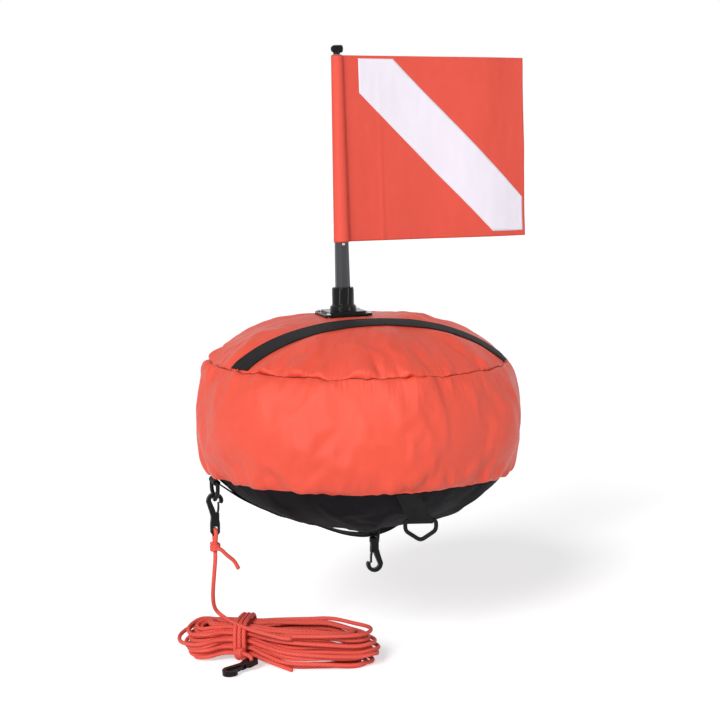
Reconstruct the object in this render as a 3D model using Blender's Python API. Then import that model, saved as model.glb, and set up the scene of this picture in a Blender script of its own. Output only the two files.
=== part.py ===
"""Dive flag float: an inflated round float in a sewn cover, with a mast and flag, webbing,
towing rings, a swivel hook and a tether line with two snap clips.

Metres, +Z up. The origin is the centre of the float at its widest circle, where it swims.
+X runs along the webbing, towards the flag's side; -Y faces the side with the towing ring.
"""

import math

import bmesh
import bpy
import numpy as np
from mathutils import Matrix, Vector

# Fits that many pieces share.
CLEARANCE = 0.0003
CUT_OVERRUN = 0.004
WELD = 0.00001

# Float cover, an outline turned about Z and given as shares of these sizes.
FLOAT_RADIUS = 0.2620
DOME_RISE = 0.1510
BELLY_DROP = 0.1890
COVER_THICKNESS = 0.0012
FOLD_DEPTH = 0.0032
HEM_TUCK = 0.0070
COVER_SIDES = 48
TOP_SHARES = (
    (0.0, 1.0),
    (0.172, 0.996),
    (0.344, 0.970),
    (0.515, 0.902),
    (0.668, 0.802),
    (0.802, 0.668),
    (0.905, 0.513),
)
SIDE_SHARES = (
    (0.905, 0.513),
    (0.966, 0.298),
    (1.0, 0.0),
    (0.995, -0.185),
    (0.963, -0.368),
    (0.906, -0.516),
)
BELLY_SHARES = (
    (0.906, -0.516),
    (0.763, -0.708),
    (0.573, -0.850),
    (0.382, -0.949),
    (0.191, -0.993),
    (0.0, -1.0),
)
HEM_RADIUS = FLOAT_RADIUS * BELLY_SHARES[0][0]
HEM_HEIGHT = BELLY_DROP * BELLY_SHARES[0][1]
TOP_FOLD_SHARES = (0.0, 0.0, 0.1, 0.2, 0.35, 0.7, 1.0)
SIDE_FOLD_SHARES = (1.0, 0.7, 0.25, 0.3, 0.75, 1.0)
BELLY_FOLD_SHARES = (0.0, 0.0, 0.12, 0.1, 0.05, 0.0, 0.0)
FOLD_WAVES = (12, 7)
FOLD_WAVE_SHARES = (0.6, 0.4)
FOLD_TURN = 1.1

# Inner bladder.
BLADDER_WALL = 0.0016
BLADDER_SIDES = 24
DISH_ROWS = 3
DISH_DEPTH = 0.0035

# Mast socket, from the flange's underside up along the mast.
SOCKET_OFFSET = 0.025
MAST_LEAN_DEG = 1.5
FLANGE_WIDTH = 0.078
FLANGE_CORNER = 0.008
FLANGE_THICKNESS = 0.0038
STEP_WIDTH = 0.062
STEP_THICKNESS = 0.0034
COLLAR_RADIUS = 0.0212
COLLAR_HEIGHT = 0.0095
BARREL_RADIUS = 0.0176
RIM_RADIUS = 0.0168
SOCKET_HEIGHT = 0.0440
SOCKET_SIDES = 24
SOCKET_FLOOR = 0.0040
SCREW_SPACING = 0.066
SCREW_RADIUS = 0.0020
SCREW_HEAD_RADIUS = 0.0040
SCREW_HEAD_HEIGHT = 0.0022
SCREW_SIDES = 12
NUT_RADIUS = 0.0042
NUT_HEIGHT = 0.0030
PLATE_THICKNESS = 0.0020

# Mast and its cap.
MAST_FOOT_RADIUS = 0.0126
MAST_TIP_RADIUS = 0.0078
MAST_SIDES = 8
MAST_SEAT = 0.0006
CAP_NECK_RADIUS = 0.0054
CAP_NECK_HEIGHT = 0.0024
CAP_RADIUS = 0.0062
CAP_LENGTH = 0.0190
CAP_SIDES = 16
STOP_SCREW_RADIUS = 0.0015
STOP_HEAD_RADIUS = 0.0026
STOP_HEAD_PROUD = 0.0016
STOP_SCREW_DEPTH = 0.0060

# Flag, turned on the mast as the photograph shows it.
FLAG_TURN_DEG = 13.0
FLAG_WIDTH = 0.3520
FLAG_HEIGHT = 0.2940
FLAG_FOOT = 0.1160
FLAG_TOP_GAP = 0.0010
FLAG_THICKNESS = 0.0012
FLAG_DROOP = 0.0085
FLAG_RIPPLE = 0.0045
FLAG_RIPPLE_TURN = 0.7
SLEEVE_CLEARANCE = 0.0006
SLEEVE_WALL = 0.0009
SLEEVE_SIDES = 16
FLAG_COLUMNS = 12
FLAG_ROWS = 4
STRIPE_THICKNESS = 0.0004
STRIPE_LIFT = 0.0005
STRIPE_UPPER_SHARES = ((0.085, 1.0), (0.27, 1.0), (0.985, 0.235), (0.985, 0.03))
STRIPE_LOWER_SHARES = ((0.085, 0.80), (0.80, 0.03), (0.985, 0.03))
STRIPE_HEM_SHARE = 0.012
STRIPE_COLUMNS = 14

# The mast ends just over the flag's sleeve.
MAST_HEIGHT = FLAG_FOOT + FLAG_HEIGHT + FLAG_TOP_GAP

# Webbing.
WEBBING_WIDTH = 0.038
WEBBING_THICKNESS = 0.0016
TOP_STRAP_WIDTH = 0.040
TOP_STRAP_OFFSET = 0.091
TOP_STRAP_STATIONS = 24
TOP_STRAP_ROWS = 4
STRAP_END_MARGIN = 0.005

# Rings: the wire's centre line.
RING_WIRE_RADIUS = 0.0034
RING_WIDTH = 0.0475
RING_LEG = 0.0160
RING_DROP = 0.0315
RING_CORNER = 0.0060
RING_SIDES = 8
CORNER_STEPS = 4

# Front tab and its ring.
TAB_HEM_INSET = 0.0027
TAB_RADIUS = HEM_RADIUS - TAB_HEM_INSET
FRONT_TAB_X = 0.0100
FRONT_TAB_START = (FRONT_TAB_X, -math.sqrt(TAB_RADIUS**2 - FRONT_TAB_X**2))
FRONT_RING_X = 0.0390
FRONT_RING_INSET = 0.0284
FRONT_RING_FALL = 0.0485
FRONT_RING_PLACE = (FRONT_RING_X, FRONT_RING_INSET - HEM_RADIUS, HEM_HEIGHT - FRONT_RING_FALL)
FRONT_RING_HEADING_DEG = -10.0
TAB_INSET = 0.0007
TAB_STATIONS = 5
LOOP_STEPS = 10

# Left tab and its ring.
LEFT_RING_OVERHANG = 0.0001
LEFT_RING_FALL = 0.0110
LEFT_RING_X = -(HEM_RADIUS + LEFT_RING_OVERHANG)
LEFT_RING_Z = HEM_HEIGHT - LEFT_RING_FALL
# Keel strap: its bridge from the left ring to the belly, and its slack run under the belly.
KEEL_TOUCH_SHARE = 0.6183
KEEL_TOUCH_X = -FLOAT_RADIUS * KEEL_TOUCH_SHARE
KEEL_BRIDGE_SAG = 0.0030
BRIDGE_STATIONS = 4
KEEL_RIGHT_SHARE = 0.8702
KEEL_RIGHT_X = FLOAT_RADIUS * KEEL_RIGHT_SHARE
SLACK_LEFT_X = -0.0980
SLACK_RIGHT_X = 0.0980
SLACK_SAG = 0.0205
SLACK_LOW_X = 0.0100
KEEL_STATIONS = 26

# Snap hooks: the bearing part that all three share.
HOOK_THICKNESS = 0.0080
HOOK_BAND = 0.0062
HOOK_RADIUS = 0.0103
HOOK_REACH = 0.0385
HOOK_SPINE = 0.0090
HOOK_BASE_WIDTH = 0.0130
HOOK_BASE_HEIGHT = 0.0110
HOOK_NOSE_DEG = 24.0
HOOK_CROWN_STEPS = 9
GATE_THICKNESS = 0.0030
GATE_WIDTH = 0.0056
GATE_BOW = 0.0012
GATE_PIN_RADIUS = 0.0016
GATE_PIN_HOLE = 0.0019
GATE_STEPS = 6
CLIP_EYE_LENGTH = 0.0200
CLIP_EYE_HOLE_LENGTH = 0.0115
CLIP_EYE_HOLE_WIDTH = 0.0090
UPPER_EYE_WIDTH = 0.0150
LOWER_EYE_WIDTH = 0.0200

# Swivel of the bottom hook.
HOOK_X = 0.0268
EYE_WIRE_RADIUS = 0.0024
EYE_SLOT_HEIGHT = 0.0090
COLLAR_NUT_RADIUS = 0.0082
COLLAR_NUT_HEIGHT = 0.0120
POST_RADIUS = 0.0030
POST_HEAD_RADIUS = 0.0044
POST_HEAD_HEIGHT = 0.0030
SWIVEL_CLEARANCE = 0.0004
SWIVEL_LIP = 0.0050
SWIVEL_SIDES = 20

# Inflation valve, on the dome behind the mast.
VALVE_RADIUS_PLACE = 0.1760
VALVE_AZIMUTH_DEG = 75.0
VALVE_FLANGE_RADIUS = 0.0165
VALVE_FLANGE_THICKNESS = 0.0022
VALVE_BOSS_RADIUS = 0.0105
VALVE_BOSS_HEIGHT = 0.0052
VALVE_NECK_DEPTH = 0.0150
VALVE_BORE_RADIUS = 0.0060
VALVE_SIDES = 24
PLUG_CLEARANCE = 0.0003
PLUG_DEPTH = 0.0110
PLUG_CAP_RADIUS = 0.0118
PLUG_CAP_HEIGHT = 0.0034
PLUG_GRIP_LENGTH = 0.0100
PLUG_GRIP_WIDTH = 0.0035
PLUG_GRIP_HEIGHT = 0.0040

# Tether line. The floor lies below the float, and the spare line rests there in a hank.
LINE_DIAMETER = 0.0065
FLOOR_LEVEL = -0.4050
KNOT_RADIUS = 0.0078
KNOT_HEIGHT = 0.0125
KNOT_SIDES = 14
TAIL_OFFSET = 0.0085
TAIL_RUN = 0.0360
TAIL_FALL = 0.0300
TUBE_POINT_STEP = 0.0150
STANDING_ROUTE = (
    (-0.2375, 0.0, -0.2215),
    (-0.2375, 0.0, -0.2350),
    (-0.2384, 0.0030, -0.2550),
    (-0.2388, 0.0100, -0.2780),
    (-0.2372, 0.0220, -0.3000),
    (-0.2335, 0.0330, -0.3180),
    (-0.2275, 0.0380, -0.3300),
    (-0.2190, 0.0300, -0.3375),
    (-0.2110, 0.0130, -0.3410),
    (-0.2030, -0.0070, -0.3425),
    (-0.1930, -0.0290, -0.3440),
    (-0.1800, -0.0500, -0.3455),
    (-0.1640, -0.0670, -0.3475),
    (-0.1503, -0.0785, -0.3497),
    (-0.1408, -0.0832, -0.35075),
    (-0.1344, -0.0854, -0.35075),
)

# Hank: its middle, the way it lies, and its loops.
HANK_PLACE = (-0.1330, -0.0040)
HANK_HEADING_DEG = -27.0
HANK_LOOPS = 13
HANK_LAYERS = 4
HANK_HALF_LENGTH = 0.1600
HANK_HALF_WIDTH = 0.0740
HANK_LENGTH_STEP = 0.0095
HANK_WIDTH_STEP = 0.0095
HANK_END_POWER = 0.85
HANK_SIDE_POWER = 0.8
HANK_HALF_LOOP_DEG = (0, 18, 38, 60, 80, 94, 102, 109, 115, 123, 137, 158, 180)
HANK_START_POINT = 20
HANK_GAP = 0.0006
WAIST_SHIFT = 0.0580
WAIST_SPREAD = 0.0520
WAIST_POWER = 4
WAIST_STEP = 0.0084
WAIST_LAYER_STEP = 0.0078
LOBE_LAYER_STEP = 0.0170
WRAP_TURNS = 3
WRAP_TURN_POINTS = 24
WRAP_STEP = 0.0072
WRAP_POWER = 0.6
WRAP_CLEARANCE = 0.0009

# Lower clip, lying in front of the hank with its eye propped up by the line under it.
LOWER_CLIP_PLACE = (-0.2094, -0.0632)
LOWER_CLIP_HEADING_DEG = 212.0
LOWER_CLIP_TILT_DEG = 8.0
EYE_BAR_GAP = 0.0012
LOWER_KNOT_DISTANCE = 0.0225
LOWER_KNOT_RISE = 0.0100
LOWER_STRAND_REACH = 0.0113
LOWER_STRAND_TURN = 0.0019

# Shapes that several pieces share.
SMOOTH_EDGE_DEG = 35.0
SCREW_DOME_SHARE = 0.7
KNOT_SHOULDER_SHARE = 0.75
NUT_NECK_SHARE = 0.6
NUT_FOOT_SHARE = 0.8
GATE_TAPER_SHARE = 0.2
CAP_DOME_TURNS = (0, 0.5, 1.0, math.pi / 2)
FRONT_LOOP_START_DEG = 180
FRONT_LOOP_SWEEP_DEG = 250
LEFT_LOOP_START_DEG = 120
LEFT_LOOP_SWEEP_DEG = 260

# Finishes.
CLOTH_ROUGHNESS = 0.6
COATED_ROUGHNESS = 0.45
WEBBING_ROUGHNESS = 0.7
PLASTIC_ROUGHNESS = 0.35
ROPE_ROUGHNESS = 0.75
STEEL_ROUGHNESS = 0.3
COVER_ORANGE = (0.78, 0.10, 0.055)
FLAG_ORANGE = (0.80, 0.105, 0.065)
STRIPE_WHITE = (0.88, 0.85, 0.90)
CLOTH_BLACK = (0.018, 0.016, 0.018)
WEBBING_BLACK = (0.014, 0.013, 0.014)
PLASTIC_BLACK = (0.012, 0.012, 0.013)
MAST_GREY = (0.045, 0.045, 0.05)
BLADDER_GREY = (0.35, 0.36, 0.38)
ROPE_CORAL = (0.80, 0.105, 0.07)
STEEL = (0.55, 0.55, 0.56)


def clear_scene():
    for item in list(bpy.data.objects):
        bpy.data.objects.remove(item, do_unlink=True)


def material(name, colour, roughness, metallic=0):
    made = bpy.data.materials.get(name) or bpy.data.materials.new(name)
    made.use_nodes = True
    shader = made.node_tree.nodes["Principled BSDF"]
    shader.inputs["Base Color"].default_value = (*colour, 1)
    shader.inputs["Roughness"].default_value = roughness
    shader.inputs["Metallic"].default_value = metallic
    return made


def orange_cloth():
    return material("orange_cloth", COVER_ORANGE, COATED_ROUGHNESS)


def flag_cloth_finish():
    return material("flag_cloth", FLAG_ORANGE, CLOTH_ROUGHNESS)


def white_cloth():
    return material("white_cloth", STRIPE_WHITE, CLOTH_ROUGHNESS)


def black_cloth():
    return material("black_cloth", CLOTH_BLACK, CLOTH_ROUGHNESS)


def black_webbing():
    return material("black_webbing", WEBBING_BLACK, WEBBING_ROUGHNESS)


def black_plastic():
    return material("black_plastic", PLASTIC_BLACK, PLASTIC_ROUGHNESS)


def mast_finish():
    return material("mast_grey", MAST_GREY, COATED_ROUGHNESS)


def bladder_finish():
    return material("bladder_grey", BLADDER_GREY, COATED_ROUGHNESS)


def rope_finish():
    return material("rope_coral", ROPE_CORAL, ROPE_ROUGHNESS)


def steel_finish():
    return material("steel", STEEL, STEEL_ROUGHNESS, 1)


def object_from(name, verts, faces, finish, sharp_deg=SMOOTH_EDGE_DEG):
    """A closed mesh object with its faces pointing out."""
    mesh = bpy.data.meshes.new(name)
    mesh.from_pydata([tuple(v) for v in verts], [], faces)
    work = bmesh.new()
    work.from_mesh(mesh)
    bmesh.ops.remove_doubles(work, verts=work.verts, dist=WELD)
    bmesh.ops.dissolve_degenerate(work, dist=WELD, edges=work.edges)
    bmesh.ops.recalc_face_normals(work, faces=work.faces)
    work.to_mesh(mesh)
    work.free()
    mesh.shade_smooth()
    mesh.set_sharp_from_angle(angle=math.radians(sharp_deg))
    mesh.materials.append(finish)
    made = bpy.data.objects.new(name, mesh)
    bpy.context.scene.collection.objects.link(made)
    return made


def frame_empty(name, matrix, parent=None):
    empty = bpy.data.objects.new(name, None)
    bpy.context.scene.collection.objects.link(empty)
    empty.parent = parent
    empty.matrix_local = matrix
    return empty


def seat(piece, parent):
    piece.parent = parent
    return piece


def shell(name, inner, outer, finish, wrap=False):
    """A closed skin between two point grids of the same shape; wrap joins the last column to the first."""
    rows = len(inner)
    columns = len(inner[0])
    verts = [p for row in inner for p in row] + [p for row in outer for p in row]
    layer = rows * columns

    def index(side, row, column):
        return side * layer + row * columns + column % columns

    spans = columns if wrap else columns - 1
    faces = []
    for row in range(rows - 1):
        for column in range(spans):
            ring = [(row, column), (row, column + 1), (row + 1, column + 1), (row + 1, column)]
            faces.append([index(0, *place) for place in ring])
            faces.append([index(1, *place) for place in reversed(ring)])
    for column in range(spans):
        for row in (0, rows - 1):
            faces.append(
                [
                    index(0, row, column),
                    index(1, row, column),
                    index(1, row, column + 1),
                    index(0, row, column + 1),
                ]
            )
    if not wrap:
        for row in range(rows - 1):
            for column in (0, columns - 1):
                faces.append(
                    [
                        index(0, row, column),
                        index(0, row + 1, column),
                        index(1, row + 1, column),
                        index(1, row, column),
                    ]
                )
    return object_from(name, verts, faces, finish)


def turned(name, outline, sides, finish):
    """A closed (radius, height) outline turned about local Z; points on the axis become poles."""
    verts = []
    for radius, height in outline:
        for step in range(sides):
            angle = math.tau * step / sides
            verts.append((radius * math.cos(angle), radius * math.sin(angle), height))
    faces = []
    count = len(outline)
    for row in range(count):
        below = (row + 1) % count
        if outline[row][0] == 0 and outline[below][0] == 0:
            continue
        for step in range(sides):
            after = (step + 1) % sides
            faces.append(
                [row * sides + step, row * sides + after, below * sides + after, below * sides + step]
            )
    return object_from(name, verts, faces, finish)


def prism(name, outline, low, high, finish):
    """A flat outline in local XZ pushed out along local Y."""
    count = len(outline)
    verts = [(x, low, z) for x, z in outline] + [(x, high, z) for x, z in outline]
    faces = [list(range(count)), list(range(2 * count - 1, count - 1, -1))]
    for step in range(count):
        after = (step + 1) % count
        faces.append([step, after, count + after, count + step])
    return object_from(name, verts, faces, finish)


def upright_prism(name, outline, low, high, finish):
    """A flat outline in local XY pushed up along local Z."""
    count = len(outline)
    verts = [(x, y, low) for x, y in outline] + [(x, y, high) for x, y in outline]
    faces = [list(range(count)), list(range(2 * count - 1, count - 1, -1))]
    for step in range(count):
        after = (step + 1) % count
        faces.append([step, after, count + after, count + step])
    return object_from(name, verts, faces, finish)


def polygon(radius, sides, turn=0.5):
    """Corner points of a regular polygon, turned by a share of one side."""
    angles = [math.tau * (step + turn) / sides for step in range(sides)]
    return [(radius * math.cos(a), radius * math.sin(a)) for a in angles]


def rounded_square(width, corner, steps=3):
    half = width / 2 - corner
    points = []
    for quarter, (sx, sy) in enumerate(((1, 1), (-1, 1), (-1, -1), (1, -1))):
        for step in range(steps + 1):
            angle = math.pi / 2 * (quarter + step / steps)
            points.append((sx * half + corner * math.cos(angle), sy * half + corner * math.sin(angle)))
    return points


def combine(target, other, operation):
    """Joins another solid to the target, or cuts it out, and removes it."""
    cut = target.modifiers.new(operation.lower(), "BOOLEAN")
    cut.operation = operation
    cut.object = other
    cut.solver = "EXACT"
    bpy.context.view_layer.update()
    graph = bpy.context.evaluated_depsgraph_get()
    made = bpy.data.meshes.new_from_object(target.evaluated_get(graph))
    target.modifiers.clear()
    made.materials.clear()
    made.materials.append(target.data.materials[0])
    target.data = made
    bpy.data.objects.remove(other, do_unlink=True)
    return target


def swept(name, points, radius, sides, finish, closed=False, first_side=(0, 0, 1)):
    """A tube round a line of points, mitred at its corners, with flat ends unless it closes."""
    line = [Vector(p) for p in points]
    count = len(line)
    side = Vector(first_side)
    verts = []
    for step, place in enumerate(line):
        out = line[(step + 1) % count] - place
        into = place - line[step - 1]
        if not closed and step == 0:
            into = out
        if not closed and step == count - 1:
            out = into
        into = into.normalized()
        out = out.normalized()
        ahead = (into + out).normalized()
        across = (out - into).normalized()
        side = (side - ahead * side.dot(ahead)).normalized()
        other = ahead.cross(side)
        for corner in range(sides):
            angle = math.tau * (corner + 0.5) / sides
            reach = side * math.cos(angle) + other * math.sin(angle)
            mitred = reach + across * reach.dot(across) * (1 / into.dot(ahead) - 1)
            verts.append(place + mitred * radius)
    faces = []
    for step in range(count if closed else count - 1):
        after = (step + 1) % count
        for corner in range(sides):
            beside = (corner + 1) % sides
            faces.append(
                [step * sides + corner, step * sides + beside, after * sides + beside, after * sides + corner]
            )
    if not closed:
        faces.append(list(range(sides)))
        faces.append([(count - 1) * sides + corner for corner in range(sides)])
    return object_from(name, verts, faces, finish)


def smooth_line(points, step):
    """Points about one step apart on a smooth curve through the given ones."""
    given = [Vector(p) for p in points]
    given = [2 * given[0] - given[1], *given, 2 * given[-1] - given[-2]]
    line = []
    for a, b, c, d in zip(given, given[1:], given[2:], given[3:]):
        pieces = max(1, round((c - b).length / step))
        for piece in range(pieces):
            t = piece / pieces
            line.append(
                0.5
                * (
                    2 * b
                    + (c - a) * t
                    + (2 * a - 5 * b + 4 * c - d) * t * t
                    + (3 * b - 3 * c + d - a) * t * t * t
                )
            )
    line.append(given[-2])
    return line


def cord_curve(name, points, resolution, finish):
    """A round cord as a curve with filled ends."""
    data = bpy.data.curves.new(name, "CURVE")
    data.dimensions = "3D"
    data.bevel_depth = LINE_DIAMETER / 2
    data.bevel_resolution = resolution
    data.use_fill_caps = True
    spline = data.splines.new("POLY")
    spline.points.add(len(points) - 1)
    for point, place in zip(spline.points, points):
        point.co = (*place, 1.0)
    data.materials.append(finish)
    made = bpy.data.objects.new(name, data)
    bpy.context.scene.collection.objects.link(made)
    return made


def profile(shares):
    """(radius, height) points of the cover's base surface."""
    drop = {True: DOME_RISE, False: BELLY_DROP}
    return [(FLOAT_RADIUS * r, drop[z >= 0] * z) for r, z in shares]


def outward_normals(points):
    """Unit normals of a (radius, height) line that runs from the top pole to the bottom one."""
    normals = []
    for step in range(len(points)):
        before = points[max(step - 1, 0)]
        after = points[min(step + 1, len(points) - 1)]
        run = after[0] - before[0]
        rise = after[1] - before[1]
        size = math.hypot(run, rise)
        normals.append((-rise / size, run / size))
    return normals


def whole_profile():
    return profile(TOP_SHARES) + profile(SIDE_SHARES)[1:] + profile(BELLY_SHARES)[1:]


def whole_normals():
    """Normals of the whole outline, upright at both poles."""
    normals = outward_normals(whole_profile())
    normals[0] = (0.0, 1.0)
    normals[-1] = (0.0, -1.0)
    return normals


def fold(angle):
    """How far a gathered edge stands out at an angle, from 0 to 1."""
    waves = zip(FOLD_WAVES, FOLD_WAVE_SHARES)
    total = sum(share * math.cos(wave * angle + FOLD_TURN * wave) for wave, share in waves)
    return (1 + total) / 2


def panel(name, points, normals, folds, inset, finish, sides):
    """One sewn panel of the cover as a thin turned skin with its gathers."""
    outer = []
    inner = []
    for (radius, height), (nr, nz), depth in zip(points, normals, folds):
        outer_row = []
        inner_row = []
        for step in range(sides):
            angle = math.tau * step / sides
            proud = FOLD_DEPTH * depth * fold(angle)
            for row, reach in ((outer_row, proud - inset), (inner_row, proud - inset - COVER_THICKNESS)):
                r = radius + nr * reach
                row.append((r * math.cos(angle), r * math.sin(angle), height + nz * reach))
        outer.append(outer_row)
        inner.append(inner_row)
    return shell(name, inner, outer, finish, wrap=True)


def moved_along(points, index, towards, distance):
    """The line with one point moved a distance towards a neighbour."""
    a = Vector(points[index])
    b = Vector(points[towards])
    moved = list(points)
    moved[index] = tuple(a + (b - a).normalized() * distance)
    return moved


def dome_height(radius):
    """Height of the top panel's base surface at a radius from the float's middle."""
    points = profile(TOP_SHARES)
    return float(np.interp(radius, [p[0] for p in points], [p[1] for p in points]))


def dome_crest(radius):
    """How far the folds can stand out of the top panel at a radius."""
    points = profile(TOP_SHARES)
    return FOLD_DEPTH * float(np.interp(radius, [p[0] for p in points], TOP_FOLD_SHARES))


def dome_normal(radius, angle):
    points = profile(TOP_SHARES)
    normals = whole_normals()[: len(points)]
    radii = [p[0] for p in points]
    nr = float(np.interp(radius, radii, [n[0] for n in normals]))
    nz = float(np.interp(radius, radii, [n[1] for n in normals]))
    return Vector((nr * math.cos(angle), nr * math.sin(angle), nz)).normalized()


def flange_plane(x):
    """Height of the leaning flange plane over x, measured from its own middle."""
    return math.tan(math.radians(MAST_LEAN_DEG)) * (x + SOCKET_OFFSET)


def flange_samples():
    reach = FLANGE_WIDTH / 2
    places = [(sx * reach, sy * reach) for sx in (-1, 0, 1) for sy in (-1, 0, 1)]
    return [(x - SOCKET_OFFSET, y) for x, y in places]


def flange_heights():
    """How far the dome stands above the flange plane at its corners, edges and middle."""
    return [dome_height(math.hypot(x, y)) - flange_plane(x) for x, y in flange_samples()]


def seat_height():
    return max(flange_heights()) + CLEARANCE


def plate_drop():
    """Depth of the backing plate's upper face under the flange plane."""
    return seat_height() - min(flange_heights()) + COVER_THICKNESS + CLEARANCE


def mast_frame():
    place = Matrix.Translation((-SOCKET_OFFSET, 0, seat_height()))
    return place @ Matrix.Rotation(-math.radians(MAST_LEAN_DEG), 4, "Y")


def screw_places():
    half = SCREW_SPACING / 2
    return [(sx * half, sy * half) for sx in (-1, 1) for sy in (-1, 1)]


def cut_round(target, radius, low, high, matrix, sides):
    """Drills a round hole of this size along local Z of the matrix."""
    cutter = upright_prism("cutter", polygon(radius, sides), low, high, black_plastic())
    cutter.data.transform(matrix)
    return combine(target, cutter, "DIFFERENCE")


def valve_frame():
    angle = math.radians(VALVE_AZIMUTH_DEG)
    normal = dome_normal(VALVE_RADIUS_PLACE, angle)
    foot = Vector(
        (
            VALVE_RADIUS_PLACE * math.cos(angle),
            VALVE_RADIUS_PLACE * math.sin(angle),
            dome_height(VALVE_RADIUS_PLACE),
        )
    )
    place = foot + normal * (dome_crest(VALVE_RADIUS_PLACE) + CLEARANCE)
    turn = normal.to_track_quat("Z", "Y").to_matrix().to_4x4()
    return Matrix.Translation(place) @ turn


def neck_radius():
    return (VALVE_BORE_RADIUS + VALVE_BOSS_RADIUS) / 2


def make_cover_top():
    points = moved_along(profile(TOP_SHARES), -1, -2, CLEARANCE)
    normals = whole_normals()[: len(points)]
    top = panel("cover_top", points, normals, TOP_FOLD_SHARES, 0, orange_cloth(), COVER_SIDES)
    for x, y in screw_places():
        hole = mast_frame() @ Matrix.Translation((x, y, 0))
        cut_round(top, SCREW_RADIUS + CLEARANCE, -plate_drop(), CUT_OVERRUN, hole, SCREW_SIDES)
    hole_radius = neck_radius() + CLEARANCE
    cut_round(top, hole_radius, -VALVE_NECK_DEPTH, CUT_OVERRUN, valve_frame(), VALVE_SIDES)
    return top


def make_cover_side():
    points = profile(SIDE_SHARES)
    start = len(TOP_SHARES) - 1
    normals = whole_normals()[start : start + len(points)]
    return panel("cover_side", points, normals, SIDE_FOLD_SHARES, 0, orange_cloth(), COVER_SIDES)


def belly_inset():
    return COVER_THICKNESS + CLEARANCE


def make_cover_bottom():
    """The black panel starts behind the orange hem, one cloth's thickness further in."""
    hem = profile(SIDE_SHARES)[-2:]
    upper = Vector(hem[1]) + (Vector(hem[0]) - Vector(hem[1])).normalized() * HEM_TUCK
    points = [tuple(upper), *profile(BELLY_SHARES)]
    start = len(TOP_SHARES) + len(SIDE_SHARES) - 2
    normals = whole_normals()[start:]
    normals = [normals[0], *normals]
    return panel(
        "cover_bottom", points, normals, BELLY_FOLD_SHARES, belly_inset(), black_cloth(), COVER_SIDES
    )


def bladder_inset():
    return belly_inset() + COVER_THICKNESS + CLEARANCE


def bladder_rows(inset):
    """The bladder's outline, dished under the backing plate and its nuts."""
    rows = []
    for (radius, height), (nr, nz) in zip(whole_profile(), whole_normals()):
        rows.append([max(radius - nr * inset, 0.0), height - nz * inset])
    drop = plate_drop() + PLATE_THICKNESS + NUT_HEIGHT + DISH_DEPTH - bladder_inset()
    for row in rows[:DISH_ROWS]:
        row[1] -= drop
    return rows


def make_bladder():
    verts = []
    faces = []
    for inset in (bladder_inset(), bladder_inset() + BLADDER_WALL):
        start = len(verts)
        rows = bladder_rows(inset)
        for radius, height in rows:
            for step in range(BLADDER_SIDES):
                angle = math.tau * step / BLADDER_SIDES
                verts.append((radius * math.cos(angle), radius * math.sin(angle), height))
        for row in range(len(rows) - 1):
            for step in range(BLADDER_SIDES):
                after = (step + 1) % BLADDER_SIDES
                corners = [(row, step), (row + 1, step), (row + 1, after), (row, after)]
                ring = [start + r * BLADDER_SIDES + s for r, s in corners]
                faces.append(ring if inset == bladder_inset() else ring[::-1])
    mesh = bpy.data.meshes.new("bladder")
    mesh.from_pydata(verts, [], faces)
    work = bmesh.new()
    work.from_mesh(mesh)
    bmesh.ops.remove_doubles(work, verts=work.verts, dist=WELD)
    work.to_mesh(mesh)
    work.free()
    mesh.shade_smooth()
    mesh.materials.append(bladder_finish())
    bladder = bpy.data.objects.new("bladder", mesh)
    bpy.context.scene.collection.objects.link(bladder)
    cut_round(
        bladder, neck_radius() + CLEARANCE, -VALVE_NECK_DEPTH, CUT_OVERRUN, valve_frame(), VALVE_SIDES
    )
    return bladder


def make_valve_body(parent):
    outline = [
        (VALVE_BORE_RADIUS, VALVE_BOSS_HEIGHT),
        (VALVE_BORE_RADIUS, -VALVE_NECK_DEPTH),
        (neck_radius(), -VALVE_NECK_DEPTH),
        (neck_radius(), 0),
        (VALVE_FLANGE_RADIUS, 0),
        (VALVE_FLANGE_RADIUS, VALVE_FLANGE_THICKNESS / 2),
        (VALVE_FLANGE_RADIUS - VALVE_FLANGE_THICKNESS / 2, VALVE_FLANGE_THICKNESS),
        (VALVE_BOSS_RADIUS, VALVE_FLANGE_THICKNESS),
        (VALVE_BOSS_RADIUS, VALVE_BOSS_HEIGHT),
    ]
    return seat(turned("valve_body", outline, VALVE_SIDES, black_plastic()), parent)


def make_valve_plug(parent):
    """A push-in plug with a finger grip; its shank clears the bore all round."""
    seat_level = VALVE_BOSS_HEIGHT + CLEARANCE
    shank = VALVE_BORE_RADIUS - PLUG_CLEARANCE
    outline = [
        (0, seat_level + PLUG_CAP_HEIGHT),
        (PLUG_CAP_RADIUS - PLUG_CAP_HEIGHT / 3, seat_level + PLUG_CAP_HEIGHT),
        (PLUG_CAP_RADIUS, seat_level + PLUG_CAP_HEIGHT * 2 / 3),
        (PLUG_CAP_RADIUS, seat_level),
        (shank, seat_level),
        (shank, seat_level - PLUG_DEPTH),
        (0, seat_level - PLUG_DEPTH),
    ]
    plug = turned("valve_plug", outline, VALVE_SIDES, black_plastic())
    half = PLUG_GRIP_LENGTH / 2
    width = PLUG_GRIP_WIDTH / 2
    outline = [(-half, -width), (half, -width), (half, width), (-half, width)]
    base = seat_level + PLUG_CAP_HEIGHT / 2
    top = seat_level + PLUG_CAP_HEIGHT + PLUG_GRIP_HEIGHT
    combine(plug, upright_prism("grip", outline, base, top, black_plastic()), "UNION")
    return seat(plug, parent)


def mast_radius(height):
    """Radius over the mast's corners at a height above the flange's underside."""
    share = height / MAST_HEIGHT
    return MAST_FOOT_RADIUS + (MAST_TIP_RADIUS - MAST_FOOT_RADIUS) * share


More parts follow.
